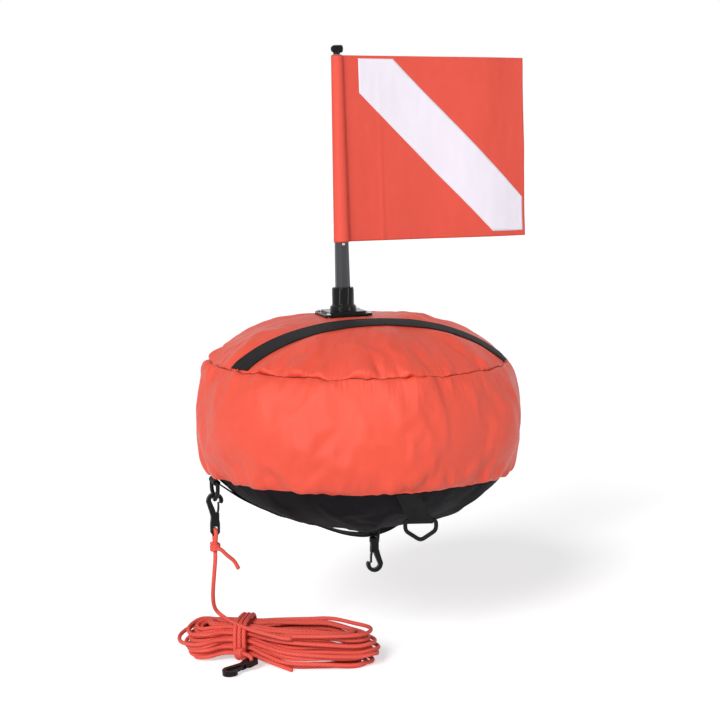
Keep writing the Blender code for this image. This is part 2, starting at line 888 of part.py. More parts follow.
def make_mast_socket(parent):
    step_top = FLANGE_THICKNESS + STEP_THICKNESS
    collar_top = step_top + COLLAR_HEIGHT
    socket = upright_prism(
        "mast_socket", rounded_square(FLANGE_WIDTH, FLANGE_CORNER), 0, FLANGE_THICKNESS, black_plastic()
    )
    step_base = FLANGE_THICKNESS / 2
    raised = upright_prism(
        "step", rounded_square(STEP_WIDTH, FLANGE_CORNER), step_base, step_top, black_plastic()
    )
    combine(socket, raised, "UNION")
    chamfer = COLLAR_RADIUS - BARREL_RADIUS
    outline = [
        (0, step_base),
        (COLLAR_RADIUS, step_base),
        (COLLAR_RADIUS, collar_top - chamfer),
        (BARREL_RADIUS, collar_top),
        (BARREL_RADIUS, SOCKET_HEIGHT - chamfer),
        (RIM_RADIUS, SOCKET_HEIGHT),
        (0, SOCKET_HEIGHT),
    ]
    combine(socket, turned("barrel", outline, SOCKET_SIDES, black_plastic()), "UNION")
    bore = upright_prism(
        "bore",
        polygon(MAST_FOOT_RADIUS + 2 * CLEARANCE, MAST_SIDES),
        SOCKET_FLOOR,
        SOCKET_HEIGHT + CUT_OVERRUN,
        black_plastic(),
    )
    combine(socket, bore, "DIFFERENCE")
    for x, y in screw_places():
        cut_round(
            socket,
            SCREW_RADIUS + CLEARANCE,
            -CUT_OVERRUN,
            step_top + CUT_OVERRUN,
            Matrix.Translation((x, y, 0)),
            SCREW_SIDES,
        )
        cut_round(
            socket,
            SCREW_HEAD_RADIUS + CLEARANCE,
            FLANGE_THICKNESS,
            step_top + CUT_OVERRUN,
            Matrix.Translation((x, y, 0)),
            SCREW_SIDES,
        )
    return seat(socket, parent)


def make_flange_screw(name, x, y, parent):
    head_base = FLANGE_THICKNESS + CLEARANCE
    head_top = head_base + SCREW_HEAD_HEIGHT
    foot = -(plate_drop() + PLATE_THICKNESS + NUT_HEIGHT + 2 * CLEARANCE)
    outline = [
        (0, head_top),
        (SCREW_HEAD_RADIUS * SCREW_DOME_SHARE, head_top),
        (SCREW_HEAD_RADIUS, head_base + SCREW_HEAD_HEIGHT / 2),
        (SCREW_HEAD_RADIUS, head_base),
        (SCREW_RADIUS, head_base),
        (SCREW_RADIUS, foot),
        (0, foot),
    ]
    screw = turned(name, outline, SCREW_SIDES, steel_finish())
    screw.location = (x, y, 0)
    return seat(screw, parent)


def make_backing_plate(parent):
    top = -plate_drop()
    plate = upright_prism(
        "backing_plate", rounded_square(FLANGE_WIDTH, FLANGE_CORNER), top - PLATE_THICKNESS, top, steel_finish()
    )
    for x, y in screw_places():
        cut_round(
            plate,
            SCREW_RADIUS + CLEARANCE,
            top - PLATE_THICKNESS - CUT_OVERRUN,
            top + CUT_OVERRUN,
            Matrix.Translation((x, y, 0)),
            SCREW_SIDES,
        )
    return seat(plate, parent)


def make_flange_nut(name, x, y, parent):
    top = -(plate_drop() + PLATE_THICKNESS + CLEARANCE)
    nut = upright_prism(name, polygon(NUT_RADIUS, 6), top - NUT_HEIGHT, top, steel_finish())
    hole_radius = SCREW_RADIUS + CLEARANCE
    cut_round(nut, hole_radius, top - NUT_HEIGHT - CUT_OVERRUN, top + CUT_OVERRUN, Matrix(), SCREW_SIDES)
    nut.location = (x, y, 0)
    return seat(nut, parent)


def stop_screw_height():
    """The stop screw's head carries the flag's sleeve."""
    return FLAG_FOOT - CLEARANCE - STOP_HEAD_RADIUS


def stop_screw_matrix():
    """Local Z of the screw points out of the mast's front flat."""
    height = stop_screw_height()
    flat = mast_radius(height) * math.cos(math.pi / MAST_SIDES)
    return Matrix.Translation((0, -flat, height)) @ Matrix.Rotation(math.pi / 2, 4, "X")


def make_mast(parent):
    foot = SOCKET_FLOOR + MAST_SEAT
    outline_low = polygon(mast_radius(foot), MAST_SIDES)
    outline_high = polygon(mast_radius(MAST_HEIGHT), MAST_SIDES)
    verts = [(x, y, foot) for x, y in outline_low] + [(x, y, MAST_HEIGHT) for x, y in outline_high]
    sides = MAST_SIDES
    faces = [list(range(sides)), list(range(2 * sides - 1, sides - 1, -1))]
    for step in range(sides):
        after = (step + 1) % sides
        faces.append([step, after, sides + after, sides + step])
    mast = object_from("mast", verts, faces, mast_finish())
    hole_depth = STOP_SCREW_DEPTH + CLEARANCE
    cut_round(
        mast, STOP_SCREW_RADIUS + CLEARANCE, -hole_depth, CUT_OVERRUN, stop_screw_matrix(), SCREW_SIDES
    )
    return seat(mast, parent)


def make_stop_screw(parent):
    outline = [
        (0, CLEARANCE + STOP_HEAD_PROUD),
        (STOP_HEAD_RADIUS * SCREW_DOME_SHARE, CLEARANCE + STOP_HEAD_PROUD),
        (STOP_HEAD_RADIUS, CLEARANCE + STOP_HEAD_PROUD / 2),
        (STOP_HEAD_RADIUS, CLEARANCE),
        (STOP_SCREW_RADIUS, CLEARANCE),
        (STOP_SCREW_RADIUS, -STOP_SCREW_DEPTH),
        (0, -STOP_SCREW_DEPTH),
    ]
    screw = turned("mast_stop_screw", outline, SCREW_SIDES, steel_finish())
    screw.data.transform(stop_screw_matrix())
    return seat(screw, parent)


def make_mast_cap(parent):
    """A T-shaped end cap: one end of its bar is domed and the other cut flat."""
    base = MAST_HEIGHT + CLEARANCE
    neck = turned(
        "mast_cap",
        [
            (0, base + CAP_NECK_HEIGHT + CAP_RADIUS),
            (CAP_NECK_RADIUS, base + CAP_NECK_HEIGHT + CAP_RADIUS),
            (CAP_NECK_RADIUS, base),
            (0, base),
        ],
        CAP_SIDES,
        black_plastic(),
    )
    left = -CAP_LENGTH / 2
    right = CAP_LENGTH / 2
    dome = [
        (CAP_RADIUS * math.sin(turn), left + CAP_RADIUS * (1 - math.cos(turn)))
        for turn in CAP_DOME_TURNS
    ]
    bevel = CAP_RADIUS / 5
    outline = [*dome, (CAP_RADIUS, right - bevel), (CAP_RADIUS - bevel, right), (0, right)]
    bar = turned("bar", outline, CAP_SIDES, black_plastic())
    centre = base + CAP_NECK_HEIGHT + CAP_RADIUS
    bar.data.transform(Matrix.Translation((0, 0, centre)) @ Matrix.Rotation(math.pi / 2, 4, "Y"))
    return seat(combine(neck, bar, "UNION"), parent)


def sleeve_radius(height):
    """Inner radius of the flag's sleeve, which follows the mast's taper."""
    return mast_radius(height) + SLEEVE_CLEARANCE


def flag_ripple(share):
    """Sideways swing of the flag cloth at a share of its width; none at the sleeve."""
    return FLAG_RIPPLE * share * math.sin(math.tau * (share * FLAG_RIPPLE_TURN + share * share / 2))


def flag_point(share, height_share, offset):
    """A point of the flag's cloth; offset is measured from its middle plane."""
    height = FLAG_FOOT + FLAG_HEIGHT * height_share
    start = sleeve_radius(height) + SLEEVE_WALL / 2
    x = start + (FLAG_WIDTH - start) * share
    return (x, flag_ripple(share) + offset, height - FLAG_DROOP * share)


def make_flag_cloth(parent):
    """One cloth: a sleeve all round the mast and the flag that hangs out from it."""
    verts = []
    faces = []
    half_angle = math.asin(FLAG_THICKNESS / 2 / (sleeve_radius(FLAG_FOOT) + SLEEVE_WALL))
    angles = [
        half_angle + (math.tau - 2 * half_angle) * step / (SLEEVE_SIDES - 1) for step in range(SLEEVE_SIDES)
    ]
    per_row = 2 * SLEEVE_SIDES + 2 * FLAG_COLUMNS
    for row in range(FLAG_ROWS + 1):
        share = row / FLAG_ROWS
        height = FLAG_FOOT + FLAG_HEIGHT * share
        inner = sleeve_radius(height)
        for radius in (inner, inner + SLEEVE_WALL):
            for angle in angles:
                verts.append((radius * math.cos(angle), radius * math.sin(angle), height))
        for offset in (FLAG_THICKNESS / 2, -FLAG_THICKNESS / 2):
            for column in range(1, FLAG_COLUMNS + 1):
                verts.append(flag_point(column / FLAG_COLUMNS, share, offset))

    def inner_at(row, step):
        return row * per_row + step % SLEEVE_SIDES

    def outer_at(row, step):
        return row * per_row + SLEEVE_SIDES + step % SLEEVE_SIDES

    def front_at(row, column):
        return outer_at(row, 0) if column == 0 else row * per_row + 2 * SLEEVE_SIDES + column - 1

    def back_at(row, column):
        if column == 0:
            return outer_at(row, SLEEVE_SIDES - 1)
        return row * per_row + 2 * SLEEVE_SIDES + FLAG_COLUMNS + column - 1

    for row in range(FLAG_ROWS):
        for step in range(SLEEVE_SIDES):
            faces.append(
                [inner_at(row, step), inner_at(row, step + 1), inner_at(row + 1, step + 1), inner_at(row + 1, step)]
            )
        for step in range(SLEEVE_SIDES - 1):
            faces.append(
                [outer_at(row, step), outer_at(row, step + 1), outer_at(row + 1, step + 1), outer_at(row + 1, step)]
            )
        for column in range(FLAG_COLUMNS):
            for at in (front_at, back_at):
                faces.append(
                    [at(row, column), at(row, column + 1), at(row + 1, column + 1), at(row + 1, column)]
                )
        last = FLAG_COLUMNS
        faces.append([front_at(row, last), back_at(row, last), back_at(row + 1, last), front_at(row + 1, last)])
    for row in (0, FLAG_ROWS):
        for step in range(SLEEVE_SIDES):
            faces.append([inner_at(row, step), inner_at(row, step + 1), outer_at(row, step + 1), outer_at(row, step)])
        for column in range(FLAG_COLUMNS):
            faces.append(
                [front_at(row, column), front_at(row, column + 1), back_at(row, column + 1), back_at(row, column)]
            )
    return seat(object_from("flag_cloth", verts, faces, flag_cloth_finish()), parent)


def make_flag_stripe(name, side, parent):
    """The white diagonal band, sewn on one face of the flag."""
    upper_x = [p[0] for p in STRIPE_UPPER_SHARES]
    upper_z = [p[1] for p in STRIPE_UPPER_SHARES]
    lower_x = [p[0] for p in STRIPE_LOWER_SHARES]
    lower_z = [p[1] for p in STRIPE_LOWER_SHARES]
    first = upper_x[0]
    last = lower_x[-1]
    columns = sorted(
        {first + (last - first) * step / STRIPE_COLUMNS for step in range(STRIPE_COLUMNS + 1)}
        | {upper_x[1], lower_x[1]}
    )
    near = side * (FLAG_THICKNESS / 2 + STRIPE_LIFT)
    grids = []
    for offset in (near, near + side * STRIPE_THICKNESS):
        grid = []
        for share in columns:
            low = float(np.interp(share, lower_x, lower_z))
            high = float(np.interp(share, upper_x, upper_z)) - STRIPE_HEM_SHARE
            grid.append([flag_point(share, low, offset), flag_point(share, high, offset)])
        grids.append(grid)
    return seat(shell(name, grids[0], grids[1], white_cloth()), parent)


def make_top_strap():
    """Wide webbing over the front of the dome, sewn in at the seam at both ends."""
    seam = profile(TOP_SHARES)[-1][0] - STRAP_END_MARGIN
    inner = []
    outer = []
    for station in range(TOP_STRAP_STATIONS + 1):
        along = 2 * station / TOP_STRAP_STATIONS - 1
        inner_row = []
        outer_row = []
        for row in range(TOP_STRAP_ROWS + 1):
            y = -TOP_STRAP_OFFSET + TOP_STRAP_WIDTH * (row / TOP_STRAP_ROWS - 1 / 2)
            x = along * math.sqrt(seam * seam - y * y)
            radius = math.hypot(x, y)
            angle = math.atan2(y, x)
            foot = Vector((x, y, dome_height(radius)))
            normal = dome_normal(radius, angle)
            lift = CLEARANCE + dome_crest(radius) + CLEARANCE
            inner_row.append(foot + normal * lift)
            outer_row.append(foot + normal * (lift + WEBBING_THICKNESS))
        inner.append(inner_row)
        outer.append(outer_row)
    return shell("top_strap", inner, outer, black_webbing())


def ribbon(name, points, width_axes, finish):
    """Webbing that follows a line of points, flat across each point's width axis."""
    line = [Vector(p) for p in points]
    inner = []
    outer = []
    for step, place in enumerate(line):
        before = line[max(step - 1, 0)]
        after = line[min(step + 1, len(line) - 1)]
        across = Vector(width_axes[step]).normalized()
        normal = across.cross(after - before).normalized()
        edge = across * WEBBING_WIDTH / 2
        reach = normal * WEBBING_THICKNESS / 2
        inner.append([place - reach - edge, place - reach + edge])
        outer.append([place + reach - edge, place + reach + edge])
    return shell(name, inner, outer, finish)


def loop_round(bar, radius, start_deg, sweep_deg, steps, along, up):
    """Points on an arc round a bar, in the plane of two directions."""
    points = []
    for step in range(steps + 1):
        angle = math.radians(start_deg + sweep_deg * step / steps)
        across = Vector(along) * radius * math.cos(angle)
        points.append(Vector(bar) + across + Vector(up) * radius * math.sin(angle))
    return points


def ring_path():
    """The ring's centre line in its own XZ plane, with its bar on the X axis."""
    half = RING_WIDTH / 2
    corners = [(-half, 0), (-half, -RING_LEG), (0, -RING_DROP), (half, -RING_LEG), (half, 0)]
    path = []
    count = len(corners)
    for index in range(count):
        here = Vector(corners[index])
        before = (Vector(corners[index - 1]) - here).normalized()
        after = (Vector(corners[(index + 1) % count]) - here).normalized()
        start = here + before * RING_CORNER
        end = here + after * RING_CORNER
        for step in range(CORNER_STEPS + 1):
            t = step / CORNER_STEPS
            path.append(start * (1 - t) ** 2 + here * 2 * t * (1 - t) + end * t**2)
    return [(p.x, 0, p.y) for p in path]


def make_ring(name, parent):
    ring = swept(name, ring_path(), RING_WIRE_RADIUS, RING_SIDES, black_plastic(), True, (0, 1, 0))
    return seat(ring, parent)


def loop_radius():
    """Centre line radius of webbing that runs round a ring's bar."""
    return RING_WIRE_RADIUS + 2 * CLEARANCE + WEBBING_THICKNESS / 2


def belly_lift():
    """How far webbing's middle line lies from the belly's base surface when it touches the cloth."""
    return 2 * CLEARANCE + FOLD_DEPTH * max(BELLY_FOLD_SHARES) - belly_inset() + WEBBING_THICKNESS / 2


def belly_point(x, y, lift):
    """A point under the belly, a distance straight out from its base surface."""
    radius = math.hypot(x, y)
    points = profile(BELLY_SHARES)
    normals = whole_normals()[-len(points) :]
    radii = [p[0] for p in points][::-1]
    nr = float(np.interp(radius, radii, [n[0] for n in normals][::-1]))
    nz = float(np.interp(radius, radii, [n[1] for n in normals][::-1]))
    height = float(np.interp(radius, radii, [p[1] for p in points][::-1]))
    angle = math.atan2(y, x)
    return Vector((x + nr * lift * math.cos(angle), y + nr * lift * math.sin(angle), height + nz * lift))


def front_across():
    angle = math.radians(FRONT_RING_HEADING_DEG)
    return Vector((math.cos(angle), math.sin(angle), 0))


def make_front_tab():
    """Webbing sewn under the hem, hanging aslant to the ring's bar and folded round it."""
    across = front_across()
    inward = Vector((0, 0, 1)).cross(across)
    bar = Vector(FRONT_RING_PLACE)
    start = belly_point(*FRONT_TAB_START, belly_lift() - TAB_INSET)
    start_deg, sweep_deg = FRONT_LOOP_START_DEG, FRONT_LOOP_SWEEP_DEG
    loop = loop_round(bar, loop_radius(), start_deg, sweep_deg, LOOP_STEPS, inward, (0, 0, 1))
    points = []
    axes = []
    hem_across = Vector((-FRONT_TAB_START[1], FRONT_TAB_START[0], 0)).normalized()
    for station in range(TAB_STATIONS):
        share = station / TAB_STATIONS
        points.append(start + (loop[0] - start) * share)
        axes.append(hem_across * (1 - share) + across * share)
    return ribbon("front_tab", points + loop, axes + [across] * len(loop), black_webbing())


def make_left_tab():
    """A short loop of webbing that hangs from the hem and holds the left ring's bar."""
    bar = Vector((LEFT_RING_X, 0, LEFT_RING_Z))
    start = belly_point(-TAB_RADIUS, 0, belly_lift() - TAB_INSET)
    start_deg, sweep_deg = LEFT_LOOP_START_DEG, LEFT_LOOP_SWEEP_DEG
    loop = loop_round(bar, loop_radius(), start_deg, sweep_deg, LOOP_STEPS, (1, 0, 0), (0, 0, 1))
    return ribbon("left_tab", [start, *loop], [(0, 1, 0)] * (len(loop) + 1), black_webbing())


def keel_line():
    """The keel strap's centre line: a bridge from the left ring, the belly, slack, and up again."""
    lift = belly_lift()
    reach = loop_radius() + WEBBING_THICKNESS + CLEARANCE
    start = Vector((LEFT_RING_X + reach, 0, LEFT_RING_Z - loop_radius()))
    touch = belly_point(KEEL_TOUCH_X, 0, lift)
    points = []
    for station in range(BRIDGE_STATIONS):
        share = station / BRIDGE_STATIONS
        sag = KEEL_BRIDGE_SAG * math.sin(math.pi * share)
        points.append(start + (touch - start) * share - Vector((0, 0, sag)))
    for station in range(KEEL_STATIONS + 1):
        x = KEEL_TOUCH_X + (KEEL_RIGHT_X - KEEL_TOUCH_X) * station / KEEL_STATIONS
        place = belly_point(x, 0, lift)
        if SLACK_LEFT_X < x < SLACK_RIGHT_X:
            edge = SLACK_LEFT_X if x < SLACK_LOW_X else SLACK_RIGHT_X
            share = (x - SLACK_LOW_X) / (edge - SLACK_LOW_X)
            place -= Vector((0, 0, SLACK_SAG * (1 + math.cos(math.pi * share)) / 2))
        points.append(place)
    return points


def make_keel_strap():
    line = keel_line()
    return ribbon("keel_strap", line, [(0, 1, 0)] * len(line), black_webbing())


def hook_bar_height():
    """Height of the axis of the hook eye's lower bar, just under the strap that rests on it."""
    line = keel_line()
    low = float(np.interp(HOOK_X, [p.x for p in line], [p.z for p in line]))
    return low - WEBBING_THICKNESS / 2 - EYE_WIRE_RADIUS - 2 * CLEARANCE


def band_outline(points, half_widths):
    """A flat band round a line in XZ, as one outline."""
    line = [Vector(p) for p in points]
    left = []
    right = []
    for step, place in enumerate(line):
        before = line[max(step - 1, 0)]
        after = line[min(step + 1, len(line) - 1)]
        ahead = (after - before).normalized()
        normal = Vector((-ahead.y, ahead.x))
        left.append(tuple(place + normal * half_widths[step]))
        right.append(tuple(place - normal * half_widths[step]))
    return left + right[::-1]


def crown_points():
    """The hook's centre line round its crown, from the spine side to the nose."""
    sweep = 180 + HOOK_NOSE_DEG
    points = []
    for step in range(HOOK_CROWN_STEPS + 1):
        angle = math.radians(180 - sweep * step / HOOK_CROWN_STEPS)
        centre = HOOK_REACH - HOOK_RADIUS - HOOK_BAND / 2
        points.append((HOOK_RADIUS * math.cos(angle), centre + HOOK_RADIUS * math.sin(angle)))
    return points


def hook_shape(name, finish):
    """The hook's body above its base: spine, crown and nose, lying in local XZ."""
    crown = crown_points()
    spine_x = -(HOOK_BASE_WIDTH - HOOK_SPINE) / 2
    line = [(spine_x, 0), (spine_x - HOOK_RADIUS / 4, HOOK_REACH / 4), *crown]
    widths = [HOOK_SPINE / 2, HOOK_SPINE / 2] + [HOOK_BAND / 2] * len(crown)
    widths[2] = (HOOK_SPINE + HOOK_BAND) / 4
    widths[-1] = HOOK_BAND / 3
    body = prism(name, band_outline(line, widths), -HOOK_THICKNESS / 2, HOOK_THICKNESS / 2, finish)
    half = HOOK_BASE_WIDTH / 2
    outline = [(-half, -HOOK_BASE_HEIGHT), (half, -HOOK_BASE_HEIGHT), (half, 0), (-half, 0)]
    outline = [(x, z + HOOK_BASE_HEIGHT / 2) if z == 0 else (x, z) for x, z in outline]
    base = prism("base", outline, -HOOK_THICKNESS / 2, HOOK_THICKNESS / 2, finish)
    combine(body, base, "UNION")
    return body


def gate_foot():
    """Where the gate's pin sits in the base."""
    return (HOOK_BASE_WIDTH / 2 - GATE_PIN_HOLE - HOOK_BAND / 4, 0.0)


def gate_tip():
    """The gate's free end, just inside the nose."""
    nose = crown_points()[-1]
    inward = HOOK_BAND / 3 + CLEARANCE + GATE_THICKNESS / 2
    return (nose[0] - inward, nose[1] + GATE_THICKNESS / 2)


def gate_slot(body):
    """Opens the base for the gate's root and drills its pin hole."""
    foot_x, foot_z = gate_foot()
    half = GATE_WIDTH / 2 + CLEARANCE
    reach = GATE_THICKNESS
    outline = [
        (foot_x - reach, foot_z - reach),
        (HOOK_BASE_WIDTH, foot_z - reach),
        (HOOK_BASE_WIDTH, HOOK_BASE_HEIGHT),
        (foot_x - reach, HOOK_BASE_HEIGHT),
    ]
    combine(body, prism("slot", outline, -half, half, black_plastic()), "DIFFERENCE")
    turn = Matrix.Translation((foot_x, 0, foot_z)) @ Matrix.Rotation(math.pi / 2, 4, "X")
    cut_round(body, GATE_PIN_HOLE, -HOOK_THICKNESS, HOOK_THICKNESS, turn, SCREW_SIDES)
    return body


def make_gate(name, parent):
    """The sprung tongue with its pin; its own origin is on the pin."""
    foot_x, foot_z = gate_foot()
    tip_x, tip_z = gate_tip()
    end = Vector((tip_x - foot_x, tip_z - foot_z))
    side = Vector((-end.y, end.x)).normalized()
    line = []
    widths = []
    for step in range(GATE_STEPS + 1):
        t = step / GATE_STEPS
        bow = -side * GATE_BOW * math.sin(math.pi * t)
        line.append(tuple(end * t + bow))
        widths.append(GATE_THICKNESS / 2 * (1 - GATE_TAPER_SHARE * t))
    gate = prism(name, band_outline(line, widths), -GATE_WIDTH / 2, GATE_WIDTH / 2, black_plastic())
    half = HOOK_THICKNESS / 2 - CLEARANCE
    pin = upright_prism("pin", polygon(GATE_PIN_RADIUS, SCREW_SIDES), -half, half, black_plastic())
    pin.data.transform(Matrix.Rotation(math.pi / 2, 4, "X"))
    combine(gate, pin, "UNION")
    return seat(gate, parent)


def clip_body(name, eye_width, parent):
    """A fixed-eye snap clip: hook above, slotted eye below."""
    body = hook_shape(name, black_plastic())
    half = eye_width / 2
    shoulder = HOOK_BASE_WIDTH / 2
    low = -HOOK_BASE_HEIGHT - CLIP_EYE_LENGTH
    start = -HOOK_BASE_HEIGHT / 2
    outline = [
        (-shoulder, start),
        (-half, start - (CLIP_EYE_LENGTH / 3)),
        (-half, low + CLIP_EYE_LENGTH / 4),
        (-half / 2, low),
        (half / 2, low),
        (half, low + CLIP_EYE_LENGTH / 4),
        (half, start - (CLIP_EYE_LENGTH / 3)),
        (shoulder, start),
    ]
    thick = HOOK_THICKNESS / 2
    combine(body, prism("eye", outline, -thick, thick, black_plastic()), "UNION")
    hole_top = low + (half - CLIP_EYE_HOLE_WIDTH / 2) + CLIP_EYE_HOLE_LENGTH
    hole_low = low + CLIP_EYE_LENGTH / 6
    wide = CLIP_EYE_HOLE_WIDTH / 2
    corner = wide / 2
    hole = [
        (-wide, hole_low + corner),
        (-corner, hole_low),
        (corner, hole_low),
        (wide, hole_low + corner),
        (wide, hole_top - corner),
        (corner, hole_top),
        (-corner, hole_top),
        (-wide, hole_top - corner),
    ]
    combine(body, prism("hole", hole, -HOOK_THICKNESS, HOOK_THICKNESS, black_plastic()), "DIFFERENCE")
    gate_slot(body)
    return seat(body, parent)


def eye_hole_middle():
    low = -HOOK_BASE_HEIGHT - CLIP_EYE_LENGTH
    return low + CLIP_EYE_LENGTH / 6 + CLIP_EYE_HOLE_LENGTH / 2


def ring_rest():
    """Height under the ring's bar at which a hook's crown rests on the ring's sloping sides."""
    slope = (RING_DROP - RING_LEG) / (RING_WIDTH / 2)
    side = -RING_DROP + slope * HOOK_THICKNESS / 2
    return side + RING_WIRE_RADIUS * math.hypot(1, slope)


def upper_clip_height():
    """Height of the upper clip's base under the left ring's bar."""
    crown_inner = HOOK_REACH - HOOK_BAND
    return ring_rest() + CLEARANCE - crown_inner


def make_tether_knot(parent, base_height):
    """The line's bight through the clip's eye, its knot and the short tail."""
    radius = LINE_DIAMETER / 2
    hole = base_height + eye_hole_middle()
    reach = HOOK_THICKNESS / 2 + radius + CLEARANCE
    knot_top = knot_level() + KNOT_HEIGHT
    bight = [
        (0, -radius, knot_top - radius),
        (0, -radius - CLEARANCE, knot_top),
        (0, -reach, (knot_top + hole) / 2),
        (0, -reach, hole - radius),
        (0, -reach / 2, hole),
        (0, reach / 2, hole),
        (0, reach, hole - radius),
        (0, reach, (knot_top + hole) / 2),
        (0, radius + CLEARANCE, knot_top),
        (0, radius, knot_top - radius),
    ]
    knot_base = knot_level()
    outline = [
        (0, knot_top),
        (KNOT_RADIUS * KNOT_SHOULDER_SHARE, knot_top),
        (KNOT_RADIUS, knot_top - KNOT_HEIGHT / 4),
        (KNOT_RADIUS, knot_base + KNOT_HEIGHT / 3),
        (radius, knot_base),
        (0, knot_base),
    ]
    knot = turned("tether_knot", outline, KNOT_SIDES, rope_finish())
    combine(knot, swept("bight", bight, radius, 8, rope_finish(), False, (1, 0, 0)), "UNION")
    tail = [
        (0, -TAIL_OFFSET / 2, knot_base + KNOT_HEIGHT / 2),
        (KNOT_RADIUS, -TAIL_OFFSET, knot_base + KNOT_HEIGHT / 3),
        (TAIL_RUN / 2, -TAIL_OFFSET, knot_base - TAIL_FALL / 4),
        (TAIL_RUN, -TAIL_OFFSET, knot_base - TAIL_FALL),
    ]
    tail_line = smooth_line(tail, LINE_DIAMETER)
    combine(knot, swept("tail", tail_line, radius, 8, rope_finish(), False, (0, 1, 0)), "UNION")
    return seat(knot, parent)


def knot_level():
    """Height of the knot's lower end under the left ring's bar."""
    return STANDING_ROUTE[0][2] + CLEARANCE - LEFT_RING_Z


def make_hook_eye(parent):
    """The swivel hook's strap loop and collar; the strap lies on the loop's lower bar."""
    half = WEBBING_WIDTH / 2 + 3 * CLEARANCE + EYE_WIRE_RADIUS
    rise = EYE_SLOT_HEIGHT + 2 * EYE_WIRE_RADIUS
    loop = [(0, half, 0), (0, half, rise), (0, -half, rise), (0, -half, 0)]
    frame = swept("hook_eye", loop, EYE_WIRE_RADIUS, RING_SIDES, black_plastic(), True, (1, 0, 0))
    collar = turned(
        "collar",
        [
            (0, -EYE_WIRE_RADIUS / 2),
            (COLLAR_NUT_RADIUS * NUT_NECK_SHARE, -EYE_WIRE_RADIUS / 2),
            (COLLAR_NUT_RADIUS, -EYE_WIRE_RADIUS * 2),
            (COLLAR_NUT_RADIUS, -COLLAR_NUT_HEIGHT + CLEARANCE),
            (COLLAR_NUT_RADIUS * NUT_FOOT_SHARE, -COLLAR_NUT_HEIGHT),
            (0, -COLLAR_NUT_HEIGHT),
        ],
        SWIVEL_SIDES,
        black_plastic(),
    )
    combine(frame, collar, "UNION")
    bore = POST_RADIUS + SWIVEL_CLEARANCE
    pocket = POST_HEAD_RADIUS + SWIVEL_CLEARANCE
    lip_top = -COLLAR_NUT_HEIGHT + SWIVEL_LIP
    ceiling = lip_top + POST_HEAD_HEIGHT + 2 * SWIVEL_CLEARANCE
    cutter = turned(
        "cutter",
        [
            (0, ceiling),
            (pocket, ceiling),
            (pocket, lip_top),
            (bore, lip_top),
            (bore, -COLLAR_NUT_HEIGHT - CUT_OVERRUN),
            (0, -COLLAR_NUT_HEIGHT - CUT_OVERRUN),
        ],
        SWIVEL_SIDES,
        black_plastic(),
    )
    combine(frame, cutter, "DIFFERENCE")
    return seat(frame, parent)


def hook_drop():
    """Depth of the bottom hook's base line under the strap loop's axis."""
    return COLLAR_NUT_HEIGHT + CLEARANCE + HOOK_BASE_HEIGHT / 2


def make_hook_body(parent):
    """The bottom hook hangs crown down; its post turns in the collar."""
    body = hook_shape("hook_body", black_plastic())
    gate_slot(body)
    body.data.transform(Matrix.Rotation(math.pi, 4, "Y"))
    body.data.transform(Matrix.Translation((0, 0, -hook_drop() - HOOK_BASE_HEIGHT / 2)))
    lip_top = -COLLAR_NUT_HEIGHT + SWIVEL_LIP
    head_low = lip_top + SWIVEL_CLEARANCE
    post = turned(
        "post",
        [
            (0, head_low + POST_HEAD_HEIGHT),
            (POST_HEAD_RADIUS, head_low + POST_HEAD_HEIGHT),
            (POST_HEAD_RADIUS, head_low),
            (POST_RADIUS, head_low),
            (POST_RADIUS, -hook_drop()),
            (0, -hook_drop()),
        ],
        SWIVEL_SIDES,
        black_plastic(),
    )
    combine(body, post, "UNION")
    return seat(body, parent)


def hank_frame():
    turn = Matrix.Rotation(math.radians(HANK_HEADING_DEG), 4, "Z")
    return Matrix.Translation((*HANK_PLACE, FLOOR_LEVEL)) @ turn


def signed_power(value, power):
    return math.copysign(abs(value) ** power, value)


def loops_per_layer():
    return HANK_LOOPS / HANK_LAYERS


def waist(u):
    """1 at the hank's tied waist, falling to 0 in its lobes."""
    return math.exp(-(abs((u + WAIST_SHIFT) / WAIST_SPREAD) ** WAIST_POWER))


def waist_core():
    """Half width and half height of the bundle's centre lines at the waist."""
    half_width = LINE_DIAMETER / 2 + HANK_GAP + loops_per_layer() * WAIST_STEP
    return half_width, (HANK_LAYERS - 1) / 2 * WAIST_LAYER_STEP


def wrap_reach():
    """Half width and half height of the wrap's centre line, clear of the bundle's corners."""
    corner = (LINE_DIAMETER + WRAP_CLEARANCE) * math.sqrt(1 / 2)
    share = math.sqrt(1 / 2) ** WRAP_POWER
    return [(size + corner) / share for size in waist_core()]


def waist_lift():
    """The waist stands off the floor, so the wrap's turns pass under it."""
    return wrap_reach()[1] - waist_core()[1]


def loop_turns(point):
    """Turns made when the line reaches one of its points; they lie closer at the waist."""
    half = len(HANK_HALF_LOOP_DEG) - 1
    loops, place = divmod(point + HANK_START_POINT, 2 * half)
    if place <= half:
        return loops + HANK_HALF_LOOP_DEG[place] / 360
    return loops + 1 - HANK_HALF_LOOP_DEG[2 * half - place] / 360


def hank_layer(turns):
    """How many loops in from the outside the line is, and its level from 0 at the floor."""
    place = min(turns / loops_per_layer(), HANK_LAYERS)
    layer = min(int(place), HANK_LAYERS - 1)
    within = place - layer
    inward = within if layer % 2 == 0 else 1 - within
    edge = 1 / 4 / loops_per_layer()
    ramp = 0.0
    if within > 1 - edge and layer < HANK_LAYERS - 1:
        ramp = (within - 1 + edge) / (2 * edge)
    if within < edge and layer > 0:
        ramp = (within - edge) / (2 * edge)
    return inward * loops_per_layer(), HANK_LAYERS - 1 - layer - ramp


